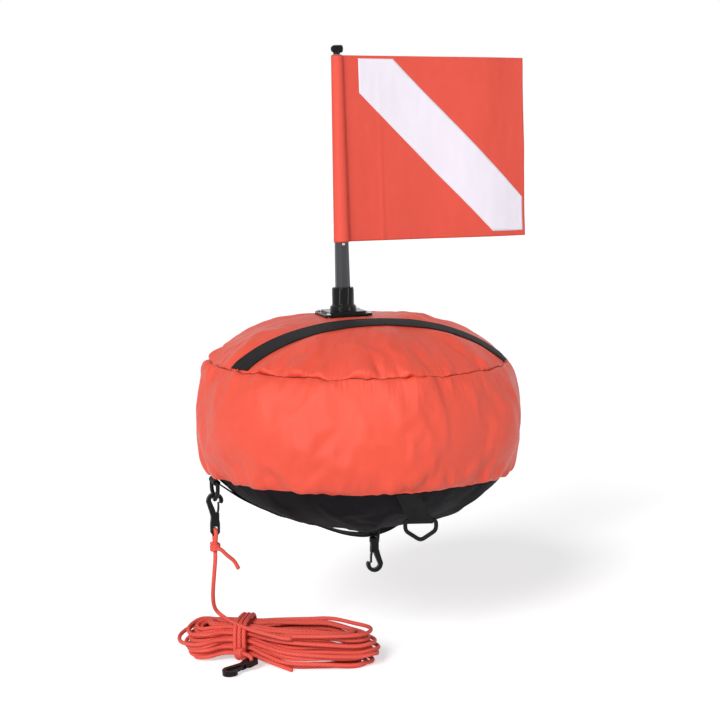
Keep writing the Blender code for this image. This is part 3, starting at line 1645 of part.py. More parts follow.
def hank_point(point):
    """One of the points of the hank's line, in the hank's own frame."""
    turns = loop_turns(point)
    step, level = hank_layer(turns - loop_turns(0))
    phase = math.tau * turns
    u = (HANK_HALF_LENGTH - step * HANK_LENGTH_STEP) * signed_power(math.cos(phase), HANK_END_POWER)
    side = signed_power(math.sin(phase), HANK_SIDE_POWER)
    open_v = (HANK_HALF_WIDTH - step * HANK_WIDTH_STEP) * side
    tied = waist_core()[0] - step * WAIST_STEP
    pull = waist(u)
    v = open_v * (1 - pull) + math.copysign(tied, side) * pull
    rise = LOBE_LAYER_STEP * (1 - pull) + WAIST_LAYER_STEP * pull
    return Vector((u, v, LINE_DIAMETER / 2 + waist_lift() * pull + level * rise))


def hank_line():
    frame = hank_frame()
    count = HANK_LOOPS * 2 * (len(HANK_HALF_LOOP_DEG) - 1)
    return [frame @ hank_point(point) for point in range(count + 1)]


def wrap_line():
    """The turns that tie the hank, as one helix round its waist."""
    half, rise = wrap_reach()
    middle = LINE_DIAMETER / 2 + rise
    frame = hank_frame()
    count = WRAP_TURNS * WRAP_TURN_POINTS
    points = []
    for step in range(count + 1):
        angle = math.tau * step / WRAP_TURN_POINTS - math.pi / 2
        u = -WAIST_SHIFT + WRAP_STEP * (step / WRAP_TURN_POINTS - WRAP_TURNS / 2)
        v = half * signed_power(math.cos(angle), WRAP_POWER)
        points.append(frame @ Vector((u, v, middle + rise * signed_power(math.sin(angle), WRAP_POWER))))
    return points


def least_gap(points, skip):
    """Smallest clear distance between a tube and itself, measured on its points and mid-points."""
    line = np.array([tuple(p) for p in points])
    fine = np.empty((2 * len(line) - 1, 3))
    fine[::2] = line
    fine[1::2] = (line[1:] + line[:-1]) / 2
    least = math.inf
    for index in range(len(fine) - 2 * skip):
        away = np.linalg.norm(fine[index + 2 * skip :] - fine[index], axis=1)
        least = min(least, float(away.min()))
    return least - LINE_DIAMETER


def lower_clip_frame():
    """The lower clip's own XZ plane is turned onto the floor and tilted up towards its eye."""
    tilt = math.radians(LOWER_CLIP_TILT_DEG)
    rise = HOOK_THICKNESS / 2 + CLEARANCE + HOOK_REACH * math.sin(tilt)
    place = Matrix.Translation((*LOWER_CLIP_PLACE, FLOOR_LEVEL + rise))
    heading = Matrix.Rotation(math.radians(LOWER_CLIP_HEADING_DEG + 90), 4, "Z")
    return place @ heading @ Matrix.Rotation(math.pi / 2 + tilt, 4, "X")


def make_lower_knot(parent):
    """The line's other end: a bight round the side bar of the clip's eye, and its knot."""
    radius = LINE_DIAMETER / 2
    hole = eye_hole_middle()
    over = HOOK_THICKNESS / 2 + radius + EYE_BAR_GAP
    beside = LOWER_EYE_WIDTH / 2 + radius + EYE_BAR_GAP
    knot_x = -LOWER_KNOT_DISTANCE
    bight = [
        (knot_x, LOWER_KNOT_RISE + radius / 2, hole),
        (-beside, over + radius / 4, hole),
        (-beside / 3, over, hole),
        (0, over / 2, hole),
        (0, -over / 2, hole),
        (-beside / 3, -over, hole),
        (-beside * 3 / 4, -over, hole),
        (-beside, -over / 3, hole),
        (knot_x, LOWER_KNOT_RISE - radius / 2, hole),
    ]
    line = swept("lower_knot", bight, radius, 8, rope_finish(), False, (0, 0, 1))
    outline = [
        (0, KNOT_HEIGHT / 2),
        (KNOT_RADIUS * KNOT_SHOULDER_SHARE, KNOT_HEIGHT / 2),
        (KNOT_RADIUS, KNOT_HEIGHT / 4),
        (KNOT_RADIUS, -KNOT_HEIGHT / 4),
        (KNOT_RADIUS * KNOT_SHOULDER_SHARE, -KNOT_HEIGHT / 2),
        (0, -KNOT_HEIGHT / 2),
    ]
    knot = turned("knot", outline, KNOT_SIDES, rope_finish())
    centre = Matrix.Translation((knot_x, LOWER_KNOT_RISE, hole))
    knot.data.transform(centre @ Matrix.Rotation(math.pi / 2, 4, "Y"))
    combine(line, knot, "UNION")
    run = [
        (knot_x, LOWER_KNOT_RISE, hole),
        (knot_x - LOWER_STRAND_REACH, LOWER_KNOT_RISE + radius / 2, hole - LOWER_STRAND_TURN),
    ]
    combine(line, swept("strand", run, radius, 8, rope_finish(), False, (0, 0, 1)), "UNION")
    return seat(line, parent)


def gate_matrix():
    foot_x, foot_z = gate_foot()
    return Matrix.Translation((foot_x, 0, foot_z))


def build_float():
    make_cover_top()
    make_cover_side()
    make_cover_bottom()
    make_bladder()
    valve = frame_empty("valve_frame", valve_frame())
    make_valve_body(valve)
    make_valve_plug(valve)
    make_top_strap()


def build_mast():
    lower = frame_empty("mast_frame", mast_frame())
    make_mast_socket(lower)
    make_backing_plate(lower)
    for number, (x, y) in enumerate(screw_places(), 1):
        make_flange_screw(f"flange_screw_{number}", x, y, lower)
        make_flange_nut(f"flange_nut_{number}", x, y, lower)
    make_mast(lower)
    make_stop_screw(lower)
    make_mast_cap(lower)
    swing = frame_empty("flag_swing_axis", Matrix.Rotation(math.radians(FLAG_TURN_DEG), 4, "Z"), lower)
    make_flag_cloth(swing)
    make_flag_stripe("flag_stripe_front", -1, swing)
    make_flag_stripe("flag_stripe_back", 1, swing)


def build_webbing():
    make_front_tab()
    turn = Matrix.Rotation(math.radians(FRONT_RING_HEADING_DEG), 4, "Z")
    front = frame_empty("front_ring_axis", Matrix.Translation(FRONT_RING_PLACE) @ turn)
    make_ring("front_ring", front)
    make_left_tab()
    make_keel_strap()


def build_bottom_hook():
    eye = frame_empty("hook_swing_axis", Matrix.Translation((HOOK_X, 0, hook_bar_height())))
    make_hook_eye(eye)
    swivel = frame_empty("hook_swivel_axis", Matrix(), eye)
    make_hook_body(swivel)
    foot_x, foot_z = gate_foot()
    drop = -hook_drop() - HOOK_BASE_HEIGHT / 2
    place = Matrix.Translation((-foot_x, 0, drop - foot_z)) @ Matrix.Rotation(math.pi, 4, "Y")
    make_gate("hook_gate", frame_empty("hook_gate_axis", place, swivel))


def build_tether():
    left = frame_empty("left_ring_axis", Matrix.Translation((LEFT_RING_X, 0, LEFT_RING_Z)))
    ring = make_ring("left_ring", left)
    ring.data.transform(Matrix.Rotation(math.pi / 2, 4, "Z"))
    base_height = upper_clip_height()
    clip = frame_empty("upper_clip_frame", Matrix.Translation((0, 0, base_height)), left)
    clip_body("upper_clip_body", UPPER_EYE_WIDTH, clip)
    make_gate("upper_clip_gate", frame_empty("upper_gate_axis", gate_matrix(), clip))
    make_tether_knot(left, base_height)
    cord_curve("tether_line", smooth_line(STANDING_ROUTE, TUBE_POINT_STEP), 2, rope_finish())
    hank = hank_line()
    cord_curve("tether_hank", hank, 1, rope_finish())
    wrap = wrap_line()
    cord_curve("tether_wrap", wrap, 1, rope_finish())
    print("least gap of the hank's line to itself, mm:", round(1000 * least_gap(hank, 3), 2))
    print("least gap of the wrap's line to itself, mm:", round(1000 * least_gap(wrap, 4), 2))
    lower = frame_empty("lower_clip_frame", lower_clip_frame())
    clip_body("lower_clip_body", LOWER_EYE_WIDTH, lower)
    make_gate("lower_clip_gate", frame_empty("lower_gate_axis", gate_matrix(), lower))
    make_lower_knot(lower)


def build():
    clear_scene()
    build_float()
    build_mast()
    build_webbing()
    build_bottom_hook()
    build_tether()


build()
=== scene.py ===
# %% [markdown]
# # Dive flag float
# The object is an inflated round float in a sewn orange and black cover. A mast with a flag
# stands on it, webbing and rings hang from it, and its spare line lies below in a tied hank.
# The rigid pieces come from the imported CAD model. This lesson gives every piece its finish
# and makes the soft pieces again: the cover, the flag, the webbing and the line.

import math
import random

import bpy
import numpy as np
from mathutils import Matrix, Vector, noise
from mathutils.bvhtree import BVHTree


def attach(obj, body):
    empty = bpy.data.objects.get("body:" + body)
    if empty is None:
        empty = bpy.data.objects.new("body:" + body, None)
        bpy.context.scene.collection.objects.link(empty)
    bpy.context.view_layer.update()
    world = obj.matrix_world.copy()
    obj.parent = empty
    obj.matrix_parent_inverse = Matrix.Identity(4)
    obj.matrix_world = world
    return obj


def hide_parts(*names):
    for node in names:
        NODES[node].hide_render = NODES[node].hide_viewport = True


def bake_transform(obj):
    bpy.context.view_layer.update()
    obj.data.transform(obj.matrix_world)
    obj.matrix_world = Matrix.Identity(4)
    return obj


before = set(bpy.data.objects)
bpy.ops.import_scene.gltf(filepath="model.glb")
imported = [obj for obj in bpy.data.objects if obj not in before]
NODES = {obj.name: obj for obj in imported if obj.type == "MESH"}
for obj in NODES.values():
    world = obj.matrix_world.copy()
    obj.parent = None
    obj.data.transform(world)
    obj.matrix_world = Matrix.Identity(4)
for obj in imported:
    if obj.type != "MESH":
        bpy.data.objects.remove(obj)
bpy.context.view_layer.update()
scene = bpy.context.scene

# %% [markdown]
# ## Camera
# The photograph looks slightly down on the float from its left front. The camera's turn and
# tilt come from the ellipse of the widest circle and from the sizes of the near and far pieces.

# %% Camera
IMAGE_SIDE = 720
FOCAL_PIXELS = 2000
SENSOR_WIDTH = 36
CAMERA_TURN = math.radians(-16)
CAMERA_TILT = math.radians(7.1)
CAMERA_DISTANCE = 3.19
CAMERA_HEIGHT = 0.474
CAMERA_SHIFT = 0.0024


def make_camera():
    data = bpy.data.cameras.new("camera")
    data.sensor_width = SENSOR_WIDTH
    data.lens = FOCAL_PIXELS * SENSOR_WIDTH / IMAGE_SIDE
    camera = bpy.data.objects.new("camera", data)
    scene.collection.objects.link(camera)
    right = Vector((math.cos(CAMERA_TURN), math.sin(CAMERA_TURN), 0))
    ahead = Vector((-math.sin(CAMERA_TURN), math.cos(CAMERA_TURN), 0))
    camera.location = Vector((0, 0, CAMERA_HEIGHT)) - ahead * CAMERA_DISTANCE + right * CAMERA_SHIFT
    camera.rotation_euler = (math.pi / 2 - CAMERA_TILT, 0, CAMERA_TURN)
    scene.camera = camera
    return camera


camera = make_camera()
print("camera at", [round(value, 3) for value in camera.location])

# %% [markdown]
# ## Helpers for the soft pieces
# Cords, webbing and cloth follow lines and grids of points, so they are built from rows of
# points. Each mesh gets its own UV map in metres, so weave and braid run along the piece.

# %% Meshes from rows of points
def mesh_object(name, verts, faces, uvs=None):
    """A smooth mesh; uvs gives one pair of metres for each corner of its faces."""
    mesh = bpy.data.meshes.new(name)
    mesh.from_pydata([tuple(v) for v in verts], [], faces)
    if uvs is not None:
        layer = mesh.uv_layers.new(name="UVMap")
        layer.data.foreach_set("uv", np.array(uvs, dtype=np.float32).ravel())
    mesh.update()
    for polygon in mesh.polygons:
        polygon.use_smooth = True
    made = bpy.data.objects.new(name, mesh)
    scene.collection.objects.link(made)
    return made


def grid_faces(rows, columns, wrap):
    """Corner numbers of a grid's faces, and the (row, column) of each corner for its UVs."""
    faces = []
    places = []
    last = columns if wrap else columns - 1
    for row in range(rows - 1):
        for column in range(last):
            corners = [(row, column), (row, column + 1), (row + 1, column + 1), (row + 1, column)]
            faces.append([r * columns + c % columns for r, c in corners])
            places.extend(corners)
    return faces, places


def grid_object(name, grid, flat):
    """A sheet from rows of points; flat holds each point's place on the flat sheet, in metres."""
    faces, places = grid_faces(len(grid), len(grid[0]), False)
    uvs = [flat[row][column] for row, column in places]
    return mesh_object(name, [point for row in grid for point in row], faces, uvs)


def smooth_line(points, step):
    """Points about one step apart on a smooth curve through the given ones."""
    given = [Vector(p) for p in points]
    given = [2 * given[0] - given[1], *given, 2 * given[-1] - given[-2]]
    line = []
    for a, b, c, d in zip(given, given[1:], given[2:], given[3:]):
        pieces = max(1, round((c - b).length / step))
        for piece in range(pieces):
            t = piece / pieces
            slope = (c - a) * t
            bow = (2 * a - 5 * b + 4 * c - d) * t**2
            turn = (3 * b - 3 * c + d - a) * t**3
            line.append((2 * b + slope + bow + turn) / 2)
    return [*line, given[-2]]


def distances(points):
    """How far each point of a line lies from its first one, along the line."""
    along = [0]
    for a, b in zip(points, points[1:]):
        along.append(along[-1] + (b - a).length)
    return along


def line_length(points):
    return distances(points)[-1]


def millimetres(length):
    return round(1000 * float(length), 1)


def directions(line):
    ahead = [line[1] - line[0], *(c - a for a, c in zip(line, line[2:])), line[-1] - line[-2]]
    return [step.normalized() for step in ahead]


def tube(name, line):
    """A length of the braided line: a closed tube, its UV in metres round it and along it."""
    ahead = directions(line)
    side = ahead[0].orthogonal().normalized()
    verts = []
    for place, forward in zip(line, ahead):
        side = (side - forward * side.dot(forward)).normalized()
        other = forward.cross(side)
        for corner in range(ROPE_SIDES):
            angle = math.tau * corner / ROPE_SIDES
            verts.append(place + (side * math.cos(angle) + other * math.sin(angle)) * LINE_RADIUS)
    faces, places = grid_faces(len(line), ROPE_SIDES, True)
    along = distances(line)
    round_length = math.tau * LINE_RADIUS
    uvs = [(column / ROPE_SIDES * round_length, along[row]) for row, column in places]
    faces.append(list(range(ROPE_SIDES))[::-1])
    faces.append([(len(line) - 1) * ROPE_SIDES + corner for corner in range(ROPE_SIDES)])
    uvs += [(0, 0)] * ROPE_SIDES + [(0, along[-1])] * ROPE_SIDES
    return mesh_object(name, verts, faces, uvs)


def select_only(*pieces):
    """Selects these pieces and no others; the first is the active one."""
    bpy.ops.object.select_all(action="DESELECT")
    for piece in pieces:
        piece.select_set(True)
    bpy.context.view_layer.objects.active = pieces[0]


def applied(piece, kind, **settings):
    """Gives a piece a modifier with these settings and applies it."""
    select_only(piece)
    modifier = piece.modifiers.new(kind, kind)
    for title, value in settings.items():
        setattr(modifier, title, value)
    bpy.ops.object.modifier_apply(modifier=modifier.name)


def join(target, *others):
    """Joins the others into the target."""
    select_only(target, *others)
    bpy.ops.object.join()
    return target


# %% [markdown]
# ## The line
# One braided line of 6.5 mm comes down from the clip on the left ring. Its spare length lies on
# the floor in a hank that three turns of the same line tie at the waist. The hank is one
# unbroken spiral: twenty-four long loops in eight layers, pulled together at the waist. Noise
# with a fixed seed lets the strands of its lobes stray, the same way each time.

# %% The standing line's route
LINE_DIAMETER = 0.0065
LINE_RADIUS = LINE_DIAMETER / 2
ROPE_SIDES = 14
ROPE_STEP = 0.004
FLOOR_LEVEL = -0.4050
STANDING_ROUTE = (
    (-0.2375, 0.0, -0.2215),
    (-0.2375, 0.0, -0.2350),
    (-0.2384, 0.0030, -0.2550),
    (-0.2388, 0.0100, -0.2780),
    (-0.2372, 0.0220, -0.3000),
    (-0.2335, 0.0330, -0.3180),
    (-0.2275, 0.0380, -0.3300),
    (-0.2190, 0.0300, -0.3375),
    (-0.2110, 0.0130, -0.3410),
    (-0.2030, -0.0070, -0.3425),
    (-0.1930, -0.0290, -0.3440),
    (-0.1800, -0.0500, -0.3455),
    (-0.1640, -0.0670, -0.3475),
    (-0.1503, -0.0785, -0.3497),
    (-0.1408, -0.0832, -0.35075),
    (-0.1344, -0.0854, -0.35075),
)

# %% The hank's loops
HANK_TURN = math.radians(-27)
HANK_PLACE = (-0.1330, -0.0040)
LOOPS = 24
LAYERS = 8
LOOPS_PER_LAYER = LOOPS / LAYERS
HALF_LENGTH = 0.1600
HALF_WIDTH = 0.0740
LOOP_STEP = 0.0102
END_POWER = 0.85
SIDE_POWER = 0.8
HALF_LOOP_DEG = (0, 18, 38, 60, 80, 94, 102, 109, 115, 123, 137, 158, 180)
FIRST_POINT = 20
WAIST_SHIFT = 0.0580
WAIST_SPREAD = 0.0520
WAIST_STEP = 0.0091
WAIST_LAYER_STEP = 0.0058
LOBE_LAYER_STEP = 0.0078
STRAND_GAP = 0.0006
TIE_TURNS = 3
TIE_TURN_POINTS = 24
TIE_STEP = 0.0072
TIE_POWER = 0.6
TIE_CLEARANCE = 0.0009
LOBE_WANDER = 0.0122
WANDER_SCALE = 11
LOOP_WANDER = 0.0075
LOOP_WANDER_SCALE = 2.7
END_POINTS = 8
LENGTH_LOSS = 0.13
WIDTH_LOSS = 0.30
LENGTH_SPREAD = 0.05
SPREAD_ROW = 7
STRAY_SEED = 3
CORE_HALF_WIDTH = LINE_RADIUS + STRAND_GAP + LOOPS_PER_LAYER * WAIST_STEP
CORE_HALF_HEIGHT = (LAYERS - 1) / 2 * WAIST_LAYER_STEP
CORNER = (LINE_DIAMETER + TIE_CLEARANCE) * math.sqrt(1 / 2)
TIE_HALF_WIDTH = (CORE_HALF_WIDTH + CORNER) / math.sqrt(1 / 2) ** TIE_POWER
TIE_HALF_HEIGHT = (CORE_HALF_HEIGHT + CORNER) / math.sqrt(1 / 2) ** TIE_POWER
hank_points = LOOPS * 2 * (len(HALF_LOOP_DEG) - 1)
HANK_FRAME = Matrix.Translation((*HANK_PLACE, FLOOR_LEVEL)) @ Matrix.Rotation(HANK_TURN, 4, "Z")
noise.seed_set(STRAY_SEED)


def signed_power(value, power):
    return math.copysign(abs(value) ** power, value)


def loop_turns(point):
    half = len(HALF_LOOP_DEG) - 1
    loops, place = divmod(point + FIRST_POINT, 2 * half)
    if place <= half:
        return loops + HALF_LOOP_DEG[place] / 360
    return loops + 1 - HALF_LOOP_DEG[2 * half - place] / 360


def hank_layer(turns):
    """Loops in from the outside, and the level above the floor's layer."""
    place = min(turns / LOOPS_PER_LAYER, LAYERS)
    layer = min(int(place), LAYERS - 1)
    within = place - layer
    inward = within if layer % 2 == 0 else 1 - within
    edge = 1 / 4 / LOOPS_PER_LAYER
    ramp = 0
    if within > 1 - edge and layer < LAYERS - 1:
        ramp = (within - 1 + edge) / (2 * edge)
    if within < edge and layer > 0:
        ramp = (within - edge) / (2 * edge)
    return inward * LOOPS_PER_LAYER, LAYERS - 1 - layer - ramp


def hank_point(point):
    turns = loop_turns(point)
    step, level = hank_layer(turns - loop_turns(0))
    phase = math.tau * turns
    from_end = min(point, hank_points - point)
    from_middle = (2 * level / (LAYERS - 1) - 1) ** 2 * min(from_end / END_POINTS, 1)
    spread = LENGTH_SPREAD * noise.noise(Vector((math.floor(turns) * LOOP_WANDER_SCALE, SPREAD_ROW, 0)))
    length = (HALF_LENGTH - step * LOOP_STEP) * (1 - LENGTH_LOSS * from_middle + spread)
    u = length * signed_power(math.cos(phase), END_POWER)
    side = signed_power(math.sin(phase), SIDE_POWER)
    pull = math.exp(-(((u + WAIST_SHIFT) / WAIST_SPREAD) ** 4))
    v = (HALF_WIDTH - step * LOOP_STEP) * (1 - WIDTH_LOSS * from_middle) * side * (1 - pull)
    v += math.copysign(CORE_HALF_WIDTH - step * WAIST_STEP, side) * pull
    rise = LOBE_LAYER_STEP * (1 - pull) + WAIST_LAYER_STEP * pull
    lift = (TIE_HALF_HEIGHT - CORE_HALF_HEIGHT) * pull
    plain = Vector((u, v, LINE_RADIUS + lift + level * rise))
    return HANK_FRAME @ strayed(plain, turns, pull, from_end)


def strayed(plain, turns, pull, from_end):
    """The lobes' strands stray from a tidy coil, neighbours mostly together."""
    loose = (1 - pull) * min(from_end / END_POINTS, 1)
    drift = noise.noise_vector(plain * WANDER_SCALE) * LOBE_WANDER
    own = noise.noise_vector(Vector((turns * LOOP_WANDER_SCALE, 0, 0))) * LOOP_WANDER
    place = plain + (drift + own) * loose
    place.z = max(place.z, LINE_RADIUS)
    return place


def tie_point(step):
    """A point of the tie's turns, one helix round the hank's waist."""
    angle = math.tau * step / TIE_TURN_POINTS - math.pi / 2
    u = -WAIST_SHIFT + TIE_STEP * (step / TIE_TURN_POINTS - TIE_TURNS / 2)
    v = TIE_HALF_WIDTH * signed_power(math.cos(angle), TIE_POWER)
    w = LINE_RADIUS + TIE_HALF_HEIGHT * (1 + signed_power(math.sin(angle), TIE_POWER))
    return HANK_FRAME @ Vector((u, v, w))


standing_line = smooth_line(STANDING_ROUTE, ROPE_STEP)
hank_line = smooth_line([hank_point(point) for point in range(hank_points + 1)], ROPE_STEP)
tie_line = smooth_line([tie_point(step) for step in range(TIE_TURNS * TIE_TURN_POINTS + 1)], ROPE_STEP)
for title, line in (("standing", standing_line), ("hank", hank_line), ("tie", tie_line)):
    print(title, "line", round(line_length(line), 3), "m")

# %% The line's three runs
standing = tube("line_standing", standing_line)
hank = tube("line_hank", hank_line)
tie = tube("line_tie", tie_line)
print(len(hank.data.polygons), "faces in the hank")

# %% [markdown]
# ## Knots
# The line's end runs through the clip's eye as a bight and is tied in a barrel knot: a few
# close turns round the line. Each knot here is a helix of the same line, and its bight
# follows the CAD model's points round the eye.

# %% Knots on the two clips
KNOT_TURNS = 2.5
KNOT_COIL_RADIUS = 0.0052
KNOT_LENGTH = 0.0120
KNOT_SWELL_SHARE = 0.08
KNOT_TURN_POINTS = 16
LEFT_RING_FRAME = Matrix.Translation((-0.2375, 0, -0.1085))
LOWER_CLIP_FRAME = Matrix(
    (
        (0.52992, -0.11803, -0.83980, -0.20940),
        (-0.84805, -0.07375, -0.52476, -0.06320),
        (0.0, 0.99027, -0.13917, -0.39534),
        (0.0, 0.0, 0.0, 1.0),
    )
)


def coil(middle, axis):
    """Points of a barrel knot's turns round an axis."""
    axis = Vector(axis).normalized()
    side = axis.orthogonal().normalized()
    other = axis.cross(side)
    count = int(KNOT_TURNS * KNOT_TURN_POINTS)
    points = []
    for step in range(count + 1):
        angle = math.tau * (step / KNOT_TURN_POINTS)
        rise = KNOT_LENGTH * (step / count - 1 / 2)
        swell = KNOT_COIL_RADIUS * (1 + KNOT_SWELL_SHARE * math.sin(math.pi * step / count))
        around = side * math.cos(angle) + other * math.sin(angle)
        points.append(Vector(middle) + axis * rise + around * swell)
    return points


UPPER_BIGHT = (
    (0, -0.0033, -0.1050),
    (0, -0.0037, -0.1000),
    (0, -0.0074, -0.0905),
    (0, -0.0077, -0.0825),
    (0, -0.0040, -0.0785),
    (0, 0.0040, -0.0785),
    (0, 0.0077, -0.0825),
    (0, 0.0074, -0.0905),
    (0, 0.0037, -0.1000),
    (0, 0.0033, -0.1050),
)
UPPER_TAIL = (
    (0.0000, -0.0045, -0.1080),
    (0.0078, -0.0083, -0.1100),
    (0.0180, -0.0085, -0.1200),
    (0.0290, -0.0085, -0.1300),
    (0.0360, -0.0085, -0.1425),
)
UPPER_STANDING = ((0, 0.0000, -0.1000), (0, 0.0000, -0.1130))
LOWER_BIGHT = (
    (-0.0240, 0.0116, -0.0219),
    (-0.0145, 0.0096, -0.0219),
    (-0.0050, 0.0088, -0.0219),
    (0.0000, 0.0042, -0.0219),
    (0.0000, -0.0042, -0.0219),
    (-0.0050, -0.0086, -0.0219),
    (-0.0110, -0.0086, -0.0219),
    (-0.0147, -0.0025, -0.0219),
    (-0.0240, 0.0084, -0.0219),
)
LOWER_STRAND = ((-0.0225, 0.0100, -0.0219), (-0.0280, 0.0108, -0.0229), (-0.0338, 0.0116, -0.0238))


def knot(name, place, middle, axis, runs):
    """The turns of a knot and the runs that come out of it, placed in the object's frame."""
    lines = [smooth_line([place @ point for point in coil(middle, axis)], LINE_RADIUS / 2)]
    lines += [smooth_line([place @ Vector(point) for point in run], LINE_RADIUS / 2) for run in runs]
    return join(*(tube(name, line) for line in lines))


UPPER_COIL = ((0, 0, -0.1065), (0, 0, 1))
LOWER_COIL = ((-0.0240, 0.0100, -0.0219), (1, 0, 0))
upper_runs = (UPPER_BIGHT, UPPER_TAIL, UPPER_STANDING)
upper_knot = knot("knot_upper", LEFT_RING_FRAME, *UPPER_COIL, upper_runs)
lower_knot = knot("knot_lower", LOWER_CLIP_FRAME, *LOWER_COIL, (LOWER_BIGHT, LOWER_STRAND))
print("knots of", len(upper_knot.data.polygons), "and", len(lower_knot.data.polygons), "faces")

# %% The line and its bodies
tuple(STANDING_ROUTE[3])
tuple(STANDING_ROUTE[0])
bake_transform(standing)
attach(hank, "float")
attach(tie, "float")
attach(upper_knot, "tether_clip")
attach(lower_knot, "float")
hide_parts("tether_line")
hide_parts("tether_hank")
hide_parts("tether_wrap")
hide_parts("tether_knot")
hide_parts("lower_knot")
tuple(standing_line[0])
round(line_length(standing_line), 3)
tuple(hank_line[0])
round(line_length(hank_line), 3)
tuple(tie_line[0])
round(line_length(tie_line), 3)

# %% [markdown]
# ## The cover
# Three sewn panels of coated cloth hold the bladder: an orange top, an orange side and a black
# bottom. The cloth is cut a little larger than the bladder, so it lies in folds. A cloth
# simulation makes them: the seams are pinned, the cloth grows a little, and the bladder's
# pressure pushes it out.

# %% The cover's outline
FLOAT_RADIUS = 0.2620
DOME_RISE = 0.1510
BELLY_DROP = 0.1890
TOP_SHARES = ((0.0, 1.0), (0.172, 0.996), (0.344, 0.970), (0.515, 0.902), (0.668, 0.802), (0.802, 0.668))
SIDE_SHARES = ((0.905, 0.513), (0.966, 0.298), (1.0, 0.0), (0.995, -0.185), (0.963, -0.368))
BELLY_SHARES = (
    (0.906, -0.516), (0.763, -0.708), (0.573, -0.850), (0.382, -0.949), (0.191, -0.993), (0.0, -1.0),
)
COVER_COLUMNS = 364
COVER_STEP = 0.0085
COVER_THICKNESS = 0.0012
SEAM_ROWS = (0.0014, 0.0042)


def outline_point(share):
    radius, height = share
    return Vector((FLOAT_RADIUS * radius, 0, (DOME_RISE if height >= 0 else BELLY_DROP) * height))


def outline_rows():
    """Rows of the cover's outline from pole to pole, and the row of each seam."""
    parts = [TOP_SHARES, SIDE_SHARES, BELLY_SHARES]
    knots = [outline_point(share) for part in parts for share in part]
    places = smooth_line(knots, COVER_STEP)[1:-1]
    seams = []
    for corner in (len(TOP_SHARES), len(TOP_SHARES) + len(SIDE_SHARES)):
        seams.append(min(range(len(places)), key=lambda row: (places[row] - knots[corner]).length))
    return places, seams


def with_seam_rows(places, seams):
    """The same rows with narrow ones on both sides of each seam, and the seams' new numbers."""
    made = []
    moved_seams = []
    for row, place in enumerate(places):
        if row not in seams:
            made.append(place)
            continue
        upward = (places[row - 1] - place).normalized()
        downward = (places[row + 1] - place).normalized()
        made += [place + upward * reach for reach in reversed(SEAM_ROWS)]
        moved_seams.append(len(made))
        made.append(place)
        made += [place + downward * reach for reach in SEAM_ROWS]
    return made, moved_seams


def outward(places):
    """The outline's normal at each of its rows."""
    return [Vector((-ahead.z, 0, ahead.x)) for ahead in directions(places)]


plain_rows, plain_seams = outline_rows()
plain_reaches = np.array(distances(plain_rows))
rows, (TOP_SEAM, BOTTOM_SEAM) = with_seam_rows(plain_rows, plain_seams)
row_ahead = directions(rows)
row_normals = outward(rows)
reaches = np.array(distances(rows))
from_seams = np.minimum(abs(reaches - reaches[TOP_SEAM]), abs(reaches - reaches[BOTTOM_SEAM]))
print(len(rows), "rows, seams at", TOP_SEAM, "and", BOTTOM_SEAM)

# %% The cover before it is inflated
SIM_COLUMNS = 176
SIM_RIPPLE = 0.0015
SIM_RIPPLE_SCALE = 60


def cover_mesh():
    """One closed skin with both poles, in rows that run round the float."""
    verts = []
    for place in plain_rows:
        for column in range(SIM_COLUMNS):
            turn = math.tau * column / SIM_COLUMNS
            verts.append((place.x * math.cos(turn), place.x * math.sin(turn), place.z))
    faces, _ = grid_faces(len(plain_rows), SIM_COLUMNS, True)
    top = len(verts)
    verts.append((0, 0, DOME_RISE))
    verts.append((0, 0, -BELLY_DROP))
    last = (len(plain_rows) - 1) * SIM_COLUMNS
    for column in range(SIM_COLUMNS):
        following = (column + 1) % SIM_COLUMNS
        faces.append([top, following, column])
        faces.append([top + 1, last + column, last + following])
    return mesh_object("cover_skin", verts, faces)


skin = cover_mesh()
base = np.array([tuple(vertex.co) for vertex in skin.data.vertices])
print(len(base), "points in the skin")

# %% Pins and the cloth simulation
PIN_REACH = 0.0030
FLANGE_PIN_RADIUS = 0.066
BELLY_PIN_RADIUS = 0.030
SIM_FRAMES = 16
CLOTH_SETTINGS = {
    "quality": 6,
    "mass": 0.2,
    "tension_stiffness": 25,
    "compression_stiffness": 25,
    "shear_stiffness": 10,
    "bending_stiffness": 0.06,
    "vertex_group_mass": "pins",
    "shrink_min": -0.004,
    "use_pressure": True,
    "uniform_pressure_force": 5,
}


def add_pins():
    """Pins the rows at the seams and near the poles, where the cloth stays in place."""
    pins = skin.vertex_groups.new(name="pins")
    for row, place in enumerate(plain_rows):
        away = min(abs(plain_reaches[row] - plain_reaches[seam]) for seam in plain_seams)
        near_pole = place.x < (FLANGE_PIN_RADIUS if place.z > 0 else BELLY_PIN_RADIUS)
        if away < PIN_REACH or near_pole:
            pins.add(list(range(row * SIM_COLUMNS, (row + 1) * SIM_COLUMNS)), 1, "REPLACE")
    pins.add([len(base) - 2, len(base) - 1], 1, "REPLACE")


def inflate():
    """Runs the cloth simulation and applies its result to the skin."""
    cloth = skin.modifiers.new("cloth", "CLOTH")
    for title, value in CLOTH_SETTINGS.items():
        setattr(cloth.settings, title, value)
    cloth.settings.effector_weights.gravity = 0
    cloth.point_cache.frame_start = 1
    cloth.point_cache.frame_end = SIM_FRAMES
    for frame_number in range(1, SIM_FRAMES + 1):
        scene.frame_set(frame_number)
    select_only(skin)
    bpy.ops.object.modifier_apply(modifier="cloth")
    scene.frame_set(1)


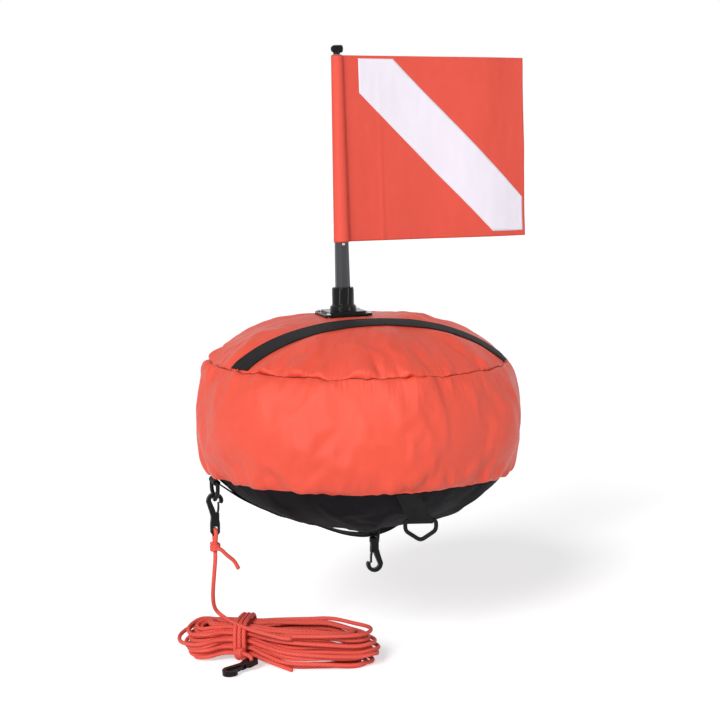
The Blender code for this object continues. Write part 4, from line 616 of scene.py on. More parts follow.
for place in range(len(base)):
    ripple = noise.noise(Vector(base[place]) * SIM_RIPPLE_SCALE)
    skin.data.vertices[place].co = Vector(base[place]) * (1 + SIM_RIPPLE * ripple)
add_pins()
inflate()
moved = np.array([tuple(vertex.co) for vertex in skin.data.vertices])
bpy.data.objects.remove(skin)
print("cloth moved by up to", millimetres(np.linalg.norm(moved - base, axis=1).max()), "mm")

# %% [markdown]
# The simulation gives the folds, but it also swells the float as a whole. The object keeps its
# own outline, so only what each row does beside its own mean is kept, as a height above the row.

# %% Keep the folds, not the swelling
SIM_SHARE = 0.55


def ring_form(points):
    """Radius and height of each row's points."""
    grid = points[: len(plain_rows) * SIM_COLUMNS].reshape(len(plain_rows), SIM_COLUMNS, 3)
    return np.hypot(grid[..., 0], grid[..., 1]), grid[..., 2]


def simulated_folds():
    """Heights of the simulated folds above the outline, on the cover's own rows and columns."""
    base_radius, base_height = ring_form(base)
    radius, height = ring_form(moved)
    out = radius - base_radius
    up = height - base_height
    normals = outward(plain_rows)
    heights = out * np.array([[n.x] for n in normals]) + up * np.array([[n.z] for n in normals])
    heights -= heights.mean(axis=1, keepdims=True)
    old_turns = np.arange(SIM_COLUMNS) / SIM_COLUMNS
    turns = np.arange(COVER_COLUMNS) / COVER_COLUMNS
    wide = np.array([np.interp(turns, old_turns, row, period=1) for row in heights])
    return np.array([np.interp(reaches, plain_reaches, column) for column in wide.T]).T


folds = SIM_SHARE * simulated_folds()
print("simulated folds up to", millimetres(folds.max()), "mm")

# %% [markdown]
# ## Gathers
# Sewing draws the cloth up, so short V-shaped gathers run away from both seams. Each starts at
# the stitches, widens and dies out. The seams themselves wander a little up and down.

# %% Gathers along the seams
GATHER_SEED = 11
cover_dice = random.Random(GATHER_SEED)
column_turns = np.arange(COVER_COLUMNS) * math.tau / COVER_COLUMNS
GATHER_PEAK_SHARE = 0.13
PUFF_HEIGHT = 0.0042
PUFF_RISE = 0.010
PUFF_REACH = 0.085
BLACK_PUFF_SHARE = 0.5
CREASE_WIDTH_SHARE = 0.55
LEAN_SPAN = (-0.40, 0.40)
WIDENING_SPAN = (0.05, 0.22)
GATHER_SETS = (
    (TOP_SEAM, -1, 1, 28, (0.028, 0.110), (0.0075, 0.0150), (0.0028, 0.0064)),
    (TOP_SEAM, -1, -1, 46, (0.028, 0.120), (0.0068, 0.0140), (0.0040, 0.0085)),
    (TOP_SEAM, 1, 1, 30, (0.028, 0.120), (0.0075, 0.0150), (0.0030, 0.0070)),
    (TOP_SEAM, 1, -1, 48, (0.028, 0.150), (0.0070, 0.0150), (0.0042, 0.0092)),
    (BOTTOM_SEAM, -1, 1, 44, (0.024, 0.110), (0.0062, 0.0125), (0.0032, 0.0075)),
    (BOTTOM_SEAM, -1, -1, 64, (0.026, 0.130), (0.0062, 0.0135), (0.0045, 0.0095)),
    (BOTTOM_SEAM, 1, 1, 30, (0.030, 0.110), (0.0060, 0.0120), (0.0010, 0.0026)),
    (BOTTOM_SEAM, 1, -1, 26, (0.030, 0.110), (0.0060, 0.0120), (0.0016, 0.0036)),
)


def gather(seam, side, sign, reach, width, height):
    """One gather's heights: a round ridge or a sharp crease that widens, leans and dies out."""
    centre = cover_dice.uniform(0, math.tau)
    lean = cover_dice.uniform(*LEAN_SPAN)
    widening = cover_dice.uniform(*WIDENING_SPAN)
    away = (reaches - reaches[seam]) * side
    radius = rows[seam].x
    aside = (column_turns - centre + math.pi) % math.tau - math.pi
    rise = np.where(away > 0, away / (reach * GATHER_PEAK_SHARE), 0)
    rise = rise * np.exp(1 - rise)
    offset = aside[None, :] * radius - lean * away[:, None]
    spread = width + widening * np.maximum(away, 0)[:, None]
    if sign > 0:
        shape = np.exp(-((offset / spread) ** 2))
    else:
        shape = -np.exp(-abs(offset) / (spread * CREASE_WIDTH_SHARE))
    return height * rise[:, None] * shape


def puff():
    """The cloth stands out beside each seam, most a little way from it."""
    heights = PUFF_HEIGHT * (1 - np.exp(-from_seams / PUFF_RISE)) * np.exp(-from_seams / PUFF_REACH)
    heights[reaches > reaches[BOTTOM_SEAM]] *= BLACK_PUFF_SHARE
    return heights[:, None]


folds = folds + puff()
for seam, side, sign, count, *spans in GATHER_SETS:
    for _ in range(count):
        folds = folds + gather(seam, side, sign, *(cover_dice.uniform(*span) for span in spans))
print(sum(facts[3] for facts in GATHER_SETS), "gathers")

# %% The seams wander
SEAM_WANDER = 0.0048
SEAM_WANDER_REACH = 0.022
WANDER_SCALES = ((5.5, 0.8), (22, 0.7))
seam_shift = np.zeros((len(rows), COVER_COLUMNS))
for number, seam in enumerate((TOP_SEAM, BOTTOM_SEAM)):
    fade = np.exp(-(((reaches - reaches[seam]) / SEAM_WANDER_REACH) ** 2))
    for scale, share in WANDER_SCALES:
        places = [Vector((math.cos(turn), math.sin(turn), number)) * scale for turn in column_turns]
        wander = np.array([noise.noise(place) for place in places])
        seam_shift += fade[:, None] * wander[None, :] * SEAM_WANDER * share
print("seams wander by", millimetres(abs(seam_shift).max()), "mm")

# %% A raised fold beside the socket, and calm cloth under the band
BAND_WIDTH = 0.040
BAND_OFFSET = 0.091
BAND_CALM_REACH = 0.014
BAND_CALM_SHARE = 0.12
BAND_END_REACH = 0.030
FLAP_RISE = 0.0042
FLAP_LEFT = ((0.0643, 0.0049), (0.0532, -0.0692))
FLAP_RIGHT = ((0.1158, -0.0091), (0.0962, -0.0435))
FLAP_EDGE = 0.007
FLAP_FADE = (-0.075, 0.035)
FLAP_FADE_REACH = 0.020


def ease(value):
    """0 below 0, 1 above 1 and a smooth rise between."""
    value = min(max(value, 0), 1)
    return value * value * (3 - 2 * value)


def beside(line, x, y):
    """Signed distance from a straight line, positive on its +X side."""
    (ax, ay), (bx, by) = line
    length = math.hypot(bx - ax, by - ay)
    return ((x - ax) * (ay - by) - (y - ay) * (ax - bx)) / length


def flap_height(x, y):
    left = ease(beside(FLAP_LEFT, x, y) / FLAP_EDGE)
    right = ease(-beside(FLAP_RIGHT, x, y) / FLAP_EDGE)
    low, high = FLAP_FADE
    ends = ease((y - low) / FLAP_FADE_REACH) * ease((high - y) / FLAP_FADE_REACH)
    return FLAP_RISE * left * right * ends


def band_calm(y, from_seam):
    away = abs(y + BAND_OFFSET) - BAND_WIDTH / 2
    share = BAND_CALM_SHARE * ease(from_seam / BAND_END_REACH)
    return share + (1 - share) * ease(away / BAND_CALM_REACH)


for row in range(TOP_SEAM):
    from_seam = reaches[TOP_SEAM] - reaches[row]
    for column, turn in enumerate(column_turns):
        x = rows[row].x * math.cos(turn)
        y = rows[row].x * math.sin(turn)
        folds[row, column] = folds[row, column] * band_calm(y, from_seam) + flap_height(x, y)
print("dome folds up to", millimetres(folds[:TOP_SEAM].max()), "mm")

# %% Press the cloth down under the socket and the valve
SOCKET_OFFSET = 0.025
FLANGE_HALF = 0.040
SEAT_HEIGHT = 0.15096
SEAT_LEAN = math.tan(math.radians(1.5))
SEAT_DEPTH = 0.0007
SEAT_SLOPE = 0.30
VALVE_PLACE = Vector((0.04571, 0.17061, 0.12185))
VALVE_AXIS = Vector((0.1112, 0.4150, 0.9030)).normalized()
VALVE_REACH = 0.024


def press_down(point):
    """The point, kept under the flange's plane and under the valve's."""
    x, y, z = point
    aside = max(abs(x + SOCKET_OFFSET) - FLANGE_HALF, abs(y) - FLANGE_HALF, 0)
    plane = SEAT_HEIGHT + SEAT_LEAN * (x + SOCKET_OFFSET) - SEAT_DEPTH
    if z > 0:
        z = min(z, plane + aside * SEAT_SLOPE)
    offset = Vector((x, y, z)) - VALVE_PLACE
    lift = offset.dot(VALVE_AXIS)
    away = (offset - VALVE_AXIS * lift).length
    limit = max(away - VALVE_REACH, 0) * SEAT_SLOPE - SEAT_DEPTH
    placed = Vector((x, y, z))
    if z > 0 and away < 2 * VALVE_REACH and lift > limit:
        placed -= VALVE_AXIS * (lift - limit)
    return placed


# %% The cover's finished points
FOLD_FLOOR = -0.0012
FOLD_CAP = 0.0092
FOLD_ROUNDING = 0.0010
BELLY_INSET = 0.0014
SEAM_PINCH = {TOP_SEAM: 0.0019, TOP_SEAM - 1: 0.0003, TOP_SEAM + 1: 0.0003}


def skin_grid(inset, floor):
    """The skin's points, row by row: folds rise freely, but sink only as far as the bladder."""
    kept = floor + (folds - floor + np.sqrt((folds - floor) ** 2 + FOLD_ROUNDING**2)) / 2
    kept = np.minimum(kept, FOLD_CAP) - inset
    grid = []
    for row, (place, normal, ahead) in enumerate(zip(rows, row_normals, row_ahead)):
        line = []
        for column, turn in enumerate(column_turns):
            height = kept[row, column] - SEAM_PINCH.get(row, 0)
            point = place + normal * height + ahead * seam_shift[row, column]
            line.append(press_down((point.x * math.cos(turn), point.x * math.sin(turn), point.z)))
        grid.append(line)
    return grid


orange_grid = skin_grid(0, FOLD_FLOOR)
black_grid = skin_grid(BELLY_INSET, 0)
top_pole = press_down((0, 0, DOME_RISE))
print("top pole at", round(top_pole.z, 4))

# %% The three panels
POLE_RINGS = ((7, 0.6), (4, 0.5))
NEARNESS_REACH = 0.026


def finish_panel(panel):
    """Gives a sheet its cloth thickness, inwards, and rounds it with one subdivision."""
    applied(panel, "SOLIDIFY", thickness=COVER_THICKNESS, offset=-1)
    applied(panel, "SUBSURF", levels=1, render_levels=1)
    bpy.ops.object.shade_smooth()
    return panel


def pole_cap(verts, ring, pole):
    """Closes a ring of points with coarser rings and a small fan; gives their faces."""
    faces = []
    for every, share in POLE_RINGS:
        inner = list(range(len(verts), len(verts) + len(ring) // every))
        verts += [pole.lerp(verts[ring[place * every]], share) for place in range(len(inner))]
        for place, corner in enumerate(inner):
            outer = [ring[(place * every + step) % len(ring)] for step in range(every + 1)]
            faces.append([*outer, inner[(place + 1) % len(inner)], corner])
        ring = inner
    verts.append(pole)
    faces += [[corner, ring[(place + 1) % len(ring)], len(verts) - 1] for place, corner in enumerate(ring)]
    return faces


def panel(name, grid, first, last, pole=None):
    """One panel of the cover, from one row to another, with a pole if it has one."""
    chosen = grid[first : last + 1]
    verts = [point for row in chosen for point in row]
    faces, places = grid_faces(len(chosen), COVER_COLUMNS, True)
    along = distances(rows[first : last + 1])
    width = math.tau * FLOAT_RADIUS / COVER_COLUMNS
    uvs = [(column * width, along[row]) for row, column in places]
    if pole is not None:
        edge = 0 if pole.z > 0 else (len(chosen) - 1) * COVER_COLUMNS
        cap = pole_cap(verts, list(range(edge, edge + COVER_COLUMNS)), pole)
        faces += cap
        uvs += [tuple(verts[corner])[:2] for face in cap for corner in face]
    made = mesh_object(name, verts, faces, uvs)
    nearness = made.data.attributes.new("seam_nearness", "FLOAT", "POINT")
    values = np.zeros(len(verts), dtype=np.float32)
    row_values = np.exp(-from_seams[first : last + 1] / NEARNESS_REACH)
    values[: len(chosen) * COVER_COLUMNS] = np.repeat(row_values, COVER_COLUMNS)
    nearness.data.foreach_set("value", values)
    select_only(made)
    bpy.ops.object.mode_set(mode="EDIT")
    bpy.ops.mesh.select_all(action="SELECT")
    bpy.ops.mesh.normals_make_consistent(inside=False)
    bpy.ops.object.mode_set(mode="OBJECT")
    return finish_panel(made)


cover_top = panel("cover_orange_top", orange_grid, 0, TOP_SEAM, top_pole)
cover_side = panel("cover_orange_side", orange_grid, TOP_SEAM, BOTTOM_SEAM)
bottom_pole = Vector((0, 0, BELLY_INSET - BELLY_DROP))
cover_bottom = panel("cover_black_bottom", black_grid, BOTTOM_SEAM, len(rows) - 1, bottom_pole)
for piece, node, cloth in (
    (cover_top, "cover_top", "orange_cloth"),
    (cover_side, "cover_side", "orange_cloth"),
    (cover_bottom, "cover_bottom", "black_cloth"),
):
    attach(piece, "float")
    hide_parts(node)
print("panels of", [len(piece.data.polygons) for piece in (cover_top, cover_side, cover_bottom)])

# %% [markdown]
# ## Effects that many finishes share
# Weave, braid, uneven tone and moulded grain are node groups, made once. Each has named inputs
# and puts out only values that change over the surface, so every finish can set its own scale.

# %% Node helpers
def wire(tree, socket, value):
    """Links a value into a socket if it is a socket, and otherwise writes it there."""
    if isinstance(value, bpy.types.NodeSocket):
        tree.links.new(value, socket)
    else:
        socket.default_value = value


def calc(tree, operation, *values):
    node = tree.nodes.new("ShaderNodeMath")
    node.operation = operation
    for socket, value in zip(node.inputs, values):
        wire(tree, socket, value)
    return node.outputs[0]


def new_group(name, inputs, outputs):
    """A node group with these inputs and value outputs; gives its tree, inputs and output node."""
    tree = bpy.data.node_groups.new(name, "ShaderNodeTree")
    for title, value in inputs:
        kind = "NodeSocketVector" if value is None else "NodeSocketFloat"
        socket = tree.interface.new_socket(name=title, in_out="INPUT", socket_type=kind)
        if value is not None:
            socket.default_value = value
    for title in outputs:
        tree.interface.new_socket(name=title, in_out="OUTPUT", socket_type="NodeSocketFloat")
    given = tree.nodes.new("NodeGroupInput")
    result = tree.nodes.new("NodeGroupOutput")
    return tree, given.outputs, result.inputs


def split(tree, vector):
    node = tree.nodes.new("ShaderNodeSeparateXYZ")
    wire(tree, node.inputs[0], vector)
    return node.outputs


def noise_value(tree, vector, scale, detail=3):
    node = tree.nodes.new("ShaderNodeTexNoise")
    wire(tree, node.inputs["Vector"], vector)
    wire(tree, node.inputs["Scale"], scale)
    wire(tree, node.inputs["Detail"], detail)
    return node.outputs["Fac"]


def sine(tree, value, rate):
    return calc(tree, "SINE", calc(tree, "MULTIPLY", value, rate))


def two_noises(tree, given, ratio, shares, detail):
    """Noise at the given scale and at another one, added up by their shares."""
    first = noise_value(tree, given["Vector"], given["Scale"], detail)
    second = noise_value(tree, given["Vector"], calc(tree, "MULTIPLY", given["Scale"], ratio), detail)
    return calc(tree, "MULTIPLY_ADD", second, shares[1], calc(tree, "MULTIPLY", first, shares[0]))


# %% Weave, braid, tone and grain
BRAID_ROUNDING = 0.5
TONE_RATIO = 7
TONE_SHARES = (0.65, 0.35)
TONE_SPAN = (0.3, 0.7)
GRAIN_RATIO = 0.1
GRAIN_SHARES = (0.6, 0.4)


def weave_group():
    """Plain weave: each thread rises over every second crossing."""
    inputs = [("Vector", None), ("Across", 1000), ("Along", 1000)]
    tree, given, result = new_group("weave", inputs, ["Height"])
    u, v, _ = split(tree, given["Vector"])
    a = sine(tree, calc(tree, "MULTIPLY", u, given["Across"]), math.pi)
    b = sine(tree, calc(tree, "MULTIPLY", v, given["Along"]), math.pi)
    crossing = calc(tree, "MULTIPLY", a, b)
    wire(tree, result["Height"], calc(tree, "MULTIPLY_ADD", crossing, 0.5, 0.5))
    return tree


def braid_group():
    """Braid: strands wind both ways round the line and leave lozenges between them."""
    inputs = [("Vector", None), ("Round", 0.02), ("Strands", 8), ("Pitch", 0.02)]
    tree, given, result = new_group("braid", inputs, ["Height"])
    u, v, _ = split(tree, given["Vector"])
    p = calc(tree, "MULTIPLY", calc(tree, "DIVIDE", u, given["Round"]), given["Strands"])
    q = calc(tree, "MULTIPLY", calc(tree, "DIVIDE", v, given["Pitch"]), given["Strands"])
    left = calc(tree, "ABSOLUTE", sine(tree, calc(tree, "ADD", p, q), math.pi / 2))
    right = calc(tree, "ABSOLUTE", sine(tree, calc(tree, "SUBTRACT", p, q), math.pi / 2))
    crossing = calc(tree, "MULTIPLY", left, right)
    wire(tree, result["Height"], calc(tree, "POWER", crossing, BRAID_ROUNDING))
    return tree


def tone_group():
    """Uneven tone: large and small noise together, spread between two values."""
    inputs = [("Vector", None), ("Scale", 10), ("Low", 0), ("High", 1)]
    tree, given, result = new_group("tone", inputs, ["Value"])
    spread = tree.nodes.new("ShaderNodeMapRange")
    wire(tree, spread.inputs["Value"], two_noises(tree, given, TONE_RATIO, TONE_SHARES, 3))
    wire(tree, spread.inputs["From Min"], TONE_SPAN[0])
    wire(tree, spread.inputs["From Max"], TONE_SPAN[1])
    wire(tree, spread.inputs["To Min"], given["Low"])
    wire(tree, spread.inputs["To Max"], given["High"])
    wire(tree, result["Value"], spread.outputs[0])
    return tree


def grain_group():
    """Fine moulded grain, as spark-eroded moulds leave on plastic."""
    tree, given, result = new_group("grain", [("Vector", None), ("Scale", 1500)], ["Height"])
    wire(tree, result["Height"], two_noises(tree, given, GRAIN_RATIO, GRAIN_SHARES, 2))
    return tree


GROUPS = {"weave": weave_group(), "braid": braid_group(), "tone": tone_group(), "grain": grain_group()}
print("groups:", ", ".join(GROUPS))

# %% A finish and its parts
def finish(name, roughness, **fixed):
    """A material with its Principled shader; fixed values stay on the shader's own sockets."""
    made = bpy.data.materials.new(name)
    made.use_nodes = True
    shader = made.node_tree.nodes["Principled BSDF"]
    shader.inputs["Roughness"].default_value = roughness
    for socket, value in fixed.items():
        shader.inputs[socket.replace("_", " ")].default_value = value
    return made, made.node_tree, shader


def place_group(tree, kind, vector, **values):
    node = tree.nodes.new("ShaderNodeGroup")
    node.node_tree = GROUPS[kind]
    wire(tree, node.inputs["Vector"], vector)
    for socket, value in values.items():
        wire(tree, node.inputs[socket], value)
    return node.outputs


def tone(tree, vector, scale, low=0, high=1):
    """Uneven values between two limits."""
    return place_group(tree, "tone", vector, Scale=scale, Low=low, High=high)["Value"]


def uneven_roughness(tree, shader, vector, scale, low, high):
    tree.links.new(tone(tree, vector, scale, low, high), shader.inputs["Roughness"])


def coordinates(tree, kind):
    return tree.nodes.new("ShaderNodeTexCoord").outputs[kind]


def mix_colours(tree, factor, first, second):
    node = tree.nodes.new("ShaderNodeMix")
    node.data_type = "RGBA"
    wire(tree, node.inputs[0], factor)
    for socket, value in ((node.inputs[6], first), (node.inputs[7], second)):
        wire(tree, socket, (*value, 1) if isinstance(value, tuple) else value)
    return node.outputs[2]


def bump(tree, shader, height, distance):
    node = tree.nodes.new("ShaderNodeBump")
    wire(tree, node.inputs["Height"], height)
    node.inputs["Distance"].default_value = distance
    tree.links.new(node.outputs[0], shader.inputs["Normal"])


# %% [markdown]
# ## Finishes of the cloth, webbing and line
# The cover is coated nylon: a fine weave with a soft sheen, a little darker in patches. The flag
# is a fine weave without the coating. Webbing shows coarse ribs, and the line a braid.

# %% Cloth finishes
GATHER_STRETCH = 0.16
GATHER_SCALES = ((62, 1.0), (125, 0.5))
SOFT_CREASE_SCALE = 55
SOFT_CREASE_HEIGHT = 1.6
# Painted shade between the threads: how far it reaches, and the share of the cloth's colour that it keeps.
THREAD_SHADE = 0.45
THREAD_GAP_SHADE_SHARE = 0.80


def fine_gathers(tree, place):
    """Height of creases that run away from a seam and are finer than the mesh."""
    nearness = tree.nodes.new("ShaderNodeAttribute")
    nearness.attribute_name = "seam_nearness"
    stretched = tree.nodes.new("ShaderNodeMapping")
    stretched.inputs["Scale"].default_value = (1, GATHER_STRETCH, 1)
    wire(tree, stretched.inputs["Vector"], place)
    height = 0
    for scale, share in GATHER_SCALES:
        waves = noise_value(tree, stretched.outputs[0], scale, 2)
        ridged = calc(tree, "ABSOLUTE", calc(tree, "SUBTRACT", waves, 0.5))
        height = calc(tree, "MULTIPLY_ADD", ridged, share, height)
    return calc(tree, "MULTIPLY", height, nearness.outputs["Fac"])


def cloth_finish(name, colour, worn, threads, roughness, depth, gathers=0, **fixed):
    """Woven cloth: painted shade between its threads, uneven in tone and sheen, softly creased."""
    made, tree, shader = finish(name, roughness, **fixed)
    place = coordinates(tree, "UV")
    solid = coordinates(tree, "Object")
    weave = place_group(tree, "weave", place, Across=threads, Along=threads)["Height"]
    colours = mix_colours(tree, tone(tree, solid, scale=9), colour, worn)
    # The colour between the threads is painted shade: the cloth's own colour, darker where the weave
    # sinks.
    thread_gap_shade = tuple(THREAD_GAP_SHADE_SHARE * channel for channel in colour)
    between = calc(tree, "MULTIPLY_ADD", weave, -THREAD_SHADE, THREAD_SHADE)
    tree.links.new(mix_colours(tree, between, colours, thread_gap_shade), shader.inputs["Base Color"])
    uneven_roughness(tree, shader, solid, scale=25, low=roughness - 0.06, high=roughness + 0.08)
    creases = noise_value(tree, solid, SOFT_CREASE_SCALE)
    height = calc(tree, "MULTIPLY_ADD", creases, SOFT_CREASE_HEIGHT, weave)
    if gathers:
        height = calc(tree, "MULTIPLY_ADD", fine_gathers(tree, place), gathers / depth, height)
    bump(tree, shader, height, depth)
    return made


orange_cloth = cloth_finish(
    "orange_coated_cloth",
    colour=(0.84, 0.088, 0.045),
    worn=(0.76, 0.076, 0.040),
    threads=1400,
    roughness=0.40,
    depth=0.00018,
    gathers=0.0045,
    Specular_IOR_Level=0.35,
)
black_cloth = cloth_finish(
    "black_cloth",
    colour=(0.006, 0.0055, 0.007),
    worn=(0.009, 0.008, 0.010),
    threads=1200,
    roughness=0.72,
    depth=0.0002,
    gathers=0.003,
    Specular_IOR_Level=0.07,
)
FLAG_WEAVE = {"threads": 1300, "roughness": 0.65, "depth": 0.00012, "Specular_IOR_Level": 0.3}
flag_cloth = cloth_finish("flag_cloth", (0.80, 0.096, 0.062), (0.76, 0.088, 0.056), **FLAG_WEAVE)
white_cloth = cloth_finish("white_cloth", (0.91, 0.86, 0.95), (0.88, 0.83, 0.92), **FLAG_WEAVE)
print("cloth finishes made")

# %% Webbing and line finishes
RIBS = {"Across": 620, "Along": 420}
BRAID = {"Round": math.tau * LINE_RADIUS, "Strands": 10, "Pitch": 0.034}
BRAID_GAP_POWER = 1.5
FIBRE_SCALE = 1800
FIBRE_HEIGHT = 0.25


def webbing_finish(name, colour, worn):
    """Flat webbing: coarse ribs across it and finer ends along it, with painted highlight on the raised
    ribs.
    """
    made, tree, shader = finish(name, roughness=0.60, Specular_IOR_Level=0.08)
    ribs = place_group(tree, "weave", coordinates(tree, "UV"), **RIBS)["Height"]
    patches = tone(tree, coordinates(tree, "Object"), scale=40)
    colours = mix_colours(tree, patches, colour, worn)
    # The raised ribs are drawn halfway towards the worn colour: a painted highlight on their tops.
    raised = mix_colours(tree, calc(tree, "MULTIPLY", ribs, 0.5), colours, worn)
    tree.links.new(raised, shader.inputs["Base Color"])
    bump(tree, shader, ribs, distance=0.0005)
    return made


def rope_finish(name, colour, shade, fleck):
    """Braided line: painted shade in the gaps of the braid, with fine fibres over it."""
    made, tree, shader = finish(name, roughness=0.62, Specular_IOR_Level=0.25)
    place = coordinates(tree, "UV")
    braid = place_group(tree, "braid", place, **BRAID)["Height"]
    patches = tone(tree, coordinates(tree, "Object"), scale=30)
    colours = mix_colours(tree, patches, colour, fleck)
    # The gaps of the braid take the shade colour: painted shade where the strands part.
    gaps = calc(tree, "POWER", calc(tree, "SUBTRACT", 1, braid), BRAID_GAP_POWER)
    tree.links.new(mix_colours(tree, gaps, colours, shade), shader.inputs["Base Color"])
    fibre = noise_value(tree, place, FIBRE_SCALE, detail=2)
    height = calc(tree, "MULTIPLY_ADD", fibre, FIBRE_HEIGHT, braid)
    bump(tree, shader, height, distance=0.0009)
    return made


black_webbing = webbing_finish(
    "black_webbing",
    colour=(0.006, 0.0055, 0.006),
    # The worn colour also serves as the painted highlight on the raised ribs.
    worn=(0.017, 0.016, 0.017),
)
rope = rope_finish(
    "coral_line",
    colour=(0.93, 0.118, 0.082),
    shade=(0.62, 0.058, 0.042),
    fleck=(0.95, 0.150, 0.110),
)
print("webbing and line finishes made")

# %% [markdown]
# ## Finishes of the hard pieces
# The socket, cap and valve are moulded in glossy black plastic, the rings and hooks in a more
# satin one. The mast is a dark rod with fine marks along it, and the fixings are bright steel.

# %% Hard finishes
MAST_STRETCH = (1, 1, 0.04)
STREAK_SCALE = 900


def plastic_finish(name, colour, worn, roughness, grain, depth, **fixed):
    """A moulded or turned surface: fine grain, uneven in tone and sheen."""
    made, tree, shader = finish(name, roughness, **fixed)
    place = coordinates(tree, "Object")
    colours = mix_colours(tree, tone(tree, place, scale=60), colour, worn)
    tree.links.new(colours, shader.inputs["Base Color"])
    uneven_roughness(tree, shader, place, scale=45, low=roughness - 0.05, high=roughness + 0.09)
    bump(tree, shader, place_group(tree, "grain", place, Scale=grain)["Height"], depth)
    return made


def mast_finish(name, colour, worn):
    """A dark rod with fine streaks along it."""
    made, tree, shader = finish(name, roughness=0.42)
    place = tree.nodes.new("ShaderNodeMapping")
    place.inputs["Scale"].default_value = MAST_STRETCH
    wire(tree, place.inputs["Vector"], coordinates(tree, "Object"))
    streaks = noise_value(tree, place.outputs[0], STREAK_SCALE)
    tree.links.new(mix_colours(tree, streaks, colour, worn), shader.inputs["Base Color"])
    uneven_roughness(tree, shader, place.outputs[0], scale=200, low=0.34, high=0.52)
    bump(tree, shader, streaks, distance=0.00012)
    return made


gloss_plastic = plastic_finish(
    "gloss_black_plastic",
    colour=(0.003, 0.003, 0.004),
    worn=(0.005, 0.005, 0.006),
    roughness=0.14,
    grain=900,
    depth=0.00003,
    Specular_IOR_Level=0.16,
)
satin_plastic = plastic_finish(
    "satin_black_plastic",
    colour=(0.004, 0.004, 0.005),
    worn=(0.008, 0.008, 0.009),
    roughness=0.34,
    grain=1400,
    depth=0.00010,
    Specular_IOR_Level=0.14,
)
bladder_vinyl = plastic_finish(
    "grey_vinyl",
    colour=(0.33, 0.34, 0.36),
    worn=(0.38, 0.39, 0.41),
    roughness=0.40,
    grain=500,
    depth=0.0001,
)
steel = plastic_finish(
    "bright_steel",
    colour=(0.52, 0.52, 0.53),
    worn=(0.60, 0.60, 0.61),
    roughness=0.27,
    grain=2500,
    depth=0.00003,
    Metallic=1,
)
mast_rod = mast_finish("mast_rod", colour=(0.016, 0.016, 0.018), worn=(0.030, 0.030, 0.034))
print("hard finishes made")

# %% Finishes on the line, the cover and the hard pieces
# Each row gives a finish, the radius that rounds the edges and the pieces that have both.
FIXINGS = [f"flange_{kind}_{number}" for kind in ("screw", "nut") for number in range(1, 5)]
HARD_PIECES = (
    (gloss_plastic, 0.0006, ("mast_socket",)),
    (gloss_plastic, 0.0007, ("mast_cap",)),
    (gloss_plastic, 0.0004, ("valve_body", "valve_plug")),
    (satin_plastic, 0.0004, ("front_ring", "left_ring", "hook_eye")),
    (satin_plastic, 0.0009, ("upper_clip_body", "lower_clip_body", "hook_body")),
    (satin_plastic, 0.0005, ("upper_clip_gate", "lower_clip_gate", "hook_gate")),
    (mast_rod, 0.0010, ("mast",)),
    (steel, 0.0003, ("backing_plate",)),
    (steel, 0.0002, ("mast_stop_screw", *FIXINGS)),
)


def dress(piece, material):
    piece.data.materials.clear()
    piece.data.materials.append(material)


for piece in (standing, hank, tie, upper_knot, lower_knot):
    dress(piece, rope)
for piece in (cover_top, cover_side):
    dress(piece, orange_cloth)
dress(cover_bottom, black_cloth)
dress(NODES["bladder"], bladder_vinyl)
for material, _, names in HARD_PIECES:
    for name in names:
        dress(NODES[name], material)
print("finishes placed")

# %% [markdown]
# ## The flag
# The flag is one piece of cloth. Its edge at the mast is folded round the mast into a sleeve and
# sewn down, and its other three edges are hemmed. The cloth is built as one sheet that starts at
# the outer edge, runs to the mast, goes round it and comes back to the stitch line.

# %% The flag's shape
MAST_FRAME = Matrix.Translation((-0.025, 0, 0.15096)) @ Matrix.Rotation(math.radians(-1.5), 4, "Y")
FLAG_FRAME = MAST_FRAME @ Matrix.Rotation(math.radians(13), 4, "Z")
MAST_FOOT_RADIUS = 0.0126
MAST_TIP_RADIUS = 0.0078
MAST_HEIGHT = 0.4110
FLAG_WIDTH = 0.3520
FLAG_HEIGHT = 0.2940
FLAG_FOOT = 0.1160
FLAG_DROOP = 0.0085
FLAG_RIPPLE = 0.0045
FLAG_RIPPLE_TURN = 0.7
FLAG_UNEVENNESS = ((0.0016, 5, 3, 0), (0.0004, 22, 9, 5))
LOOSENING = 8
FLAG_COLUMNS = 132
FLAG_ROWS = 100
SLEEVE_COLUMNS = 32
SEAM_COLUMNS = 4
SEAM_SHARE = 0.024
SLEEVE_GAP = 0.0009
SLEEVE_SLIT = 0.05
LAYER = 0.0005
CLOTH_THICKNESS = 0.0006
CREASE_SHARE = 0.19
CREASE_WIDTH = 0.010
CREASE_DEPTH = 0.0012


def flag_ripple(share, height_share):
    """Sideways swing of the cloth: one long ripple, a crease and small unevenness."""
    swing = FLAG_RIPPLE * share * math.sin(math.tau * (share * FLAG_RIPPLE_TURN + share * share / 2))
    crease = CREASE_DEPTH * math.exp(-(((share - CREASE_SHARE) / CREASE_WIDTH) ** 2)) * (1 - height_share)
    uneven = 0
    for size, across, upward, layer in FLAG_UNEVENNESS:
        uneven += size * noise.noise(Vector((share * across, height_share * upward, layer)))
    loose = min(share * LOOSENING, 1)
    return swing - crease * loose + uneven * loose


def sleeve_radius(height):
    taper = MAST_FOOT_RADIUS + (MAST_TIP_RADIUS - MAST_FOOT_RADIUS) * height / MAST_HEIGHT
    return taper + SLEEVE_GAP


def flag_point(share, height_share, offset):
    height = FLAG_FOOT + FLAG_HEIGHT * height_share
    start = sleeve_radius(height)
    x = start + (FLAG_WIDTH - start) * share
    sag = FLAG_DROOP * share
    return FLAG_FRAME @ Vector((x, flag_ripple(share, height_share) + offset, height - sag))


def sleeve_point(angle, height_share):
    height = FLAG_FOOT + FLAG_HEIGHT * height_share
    reach = sleeve_radius(height)
    return FLAG_FRAME @ Vector((reach * math.cos(angle), reach * math.sin(angle), height))


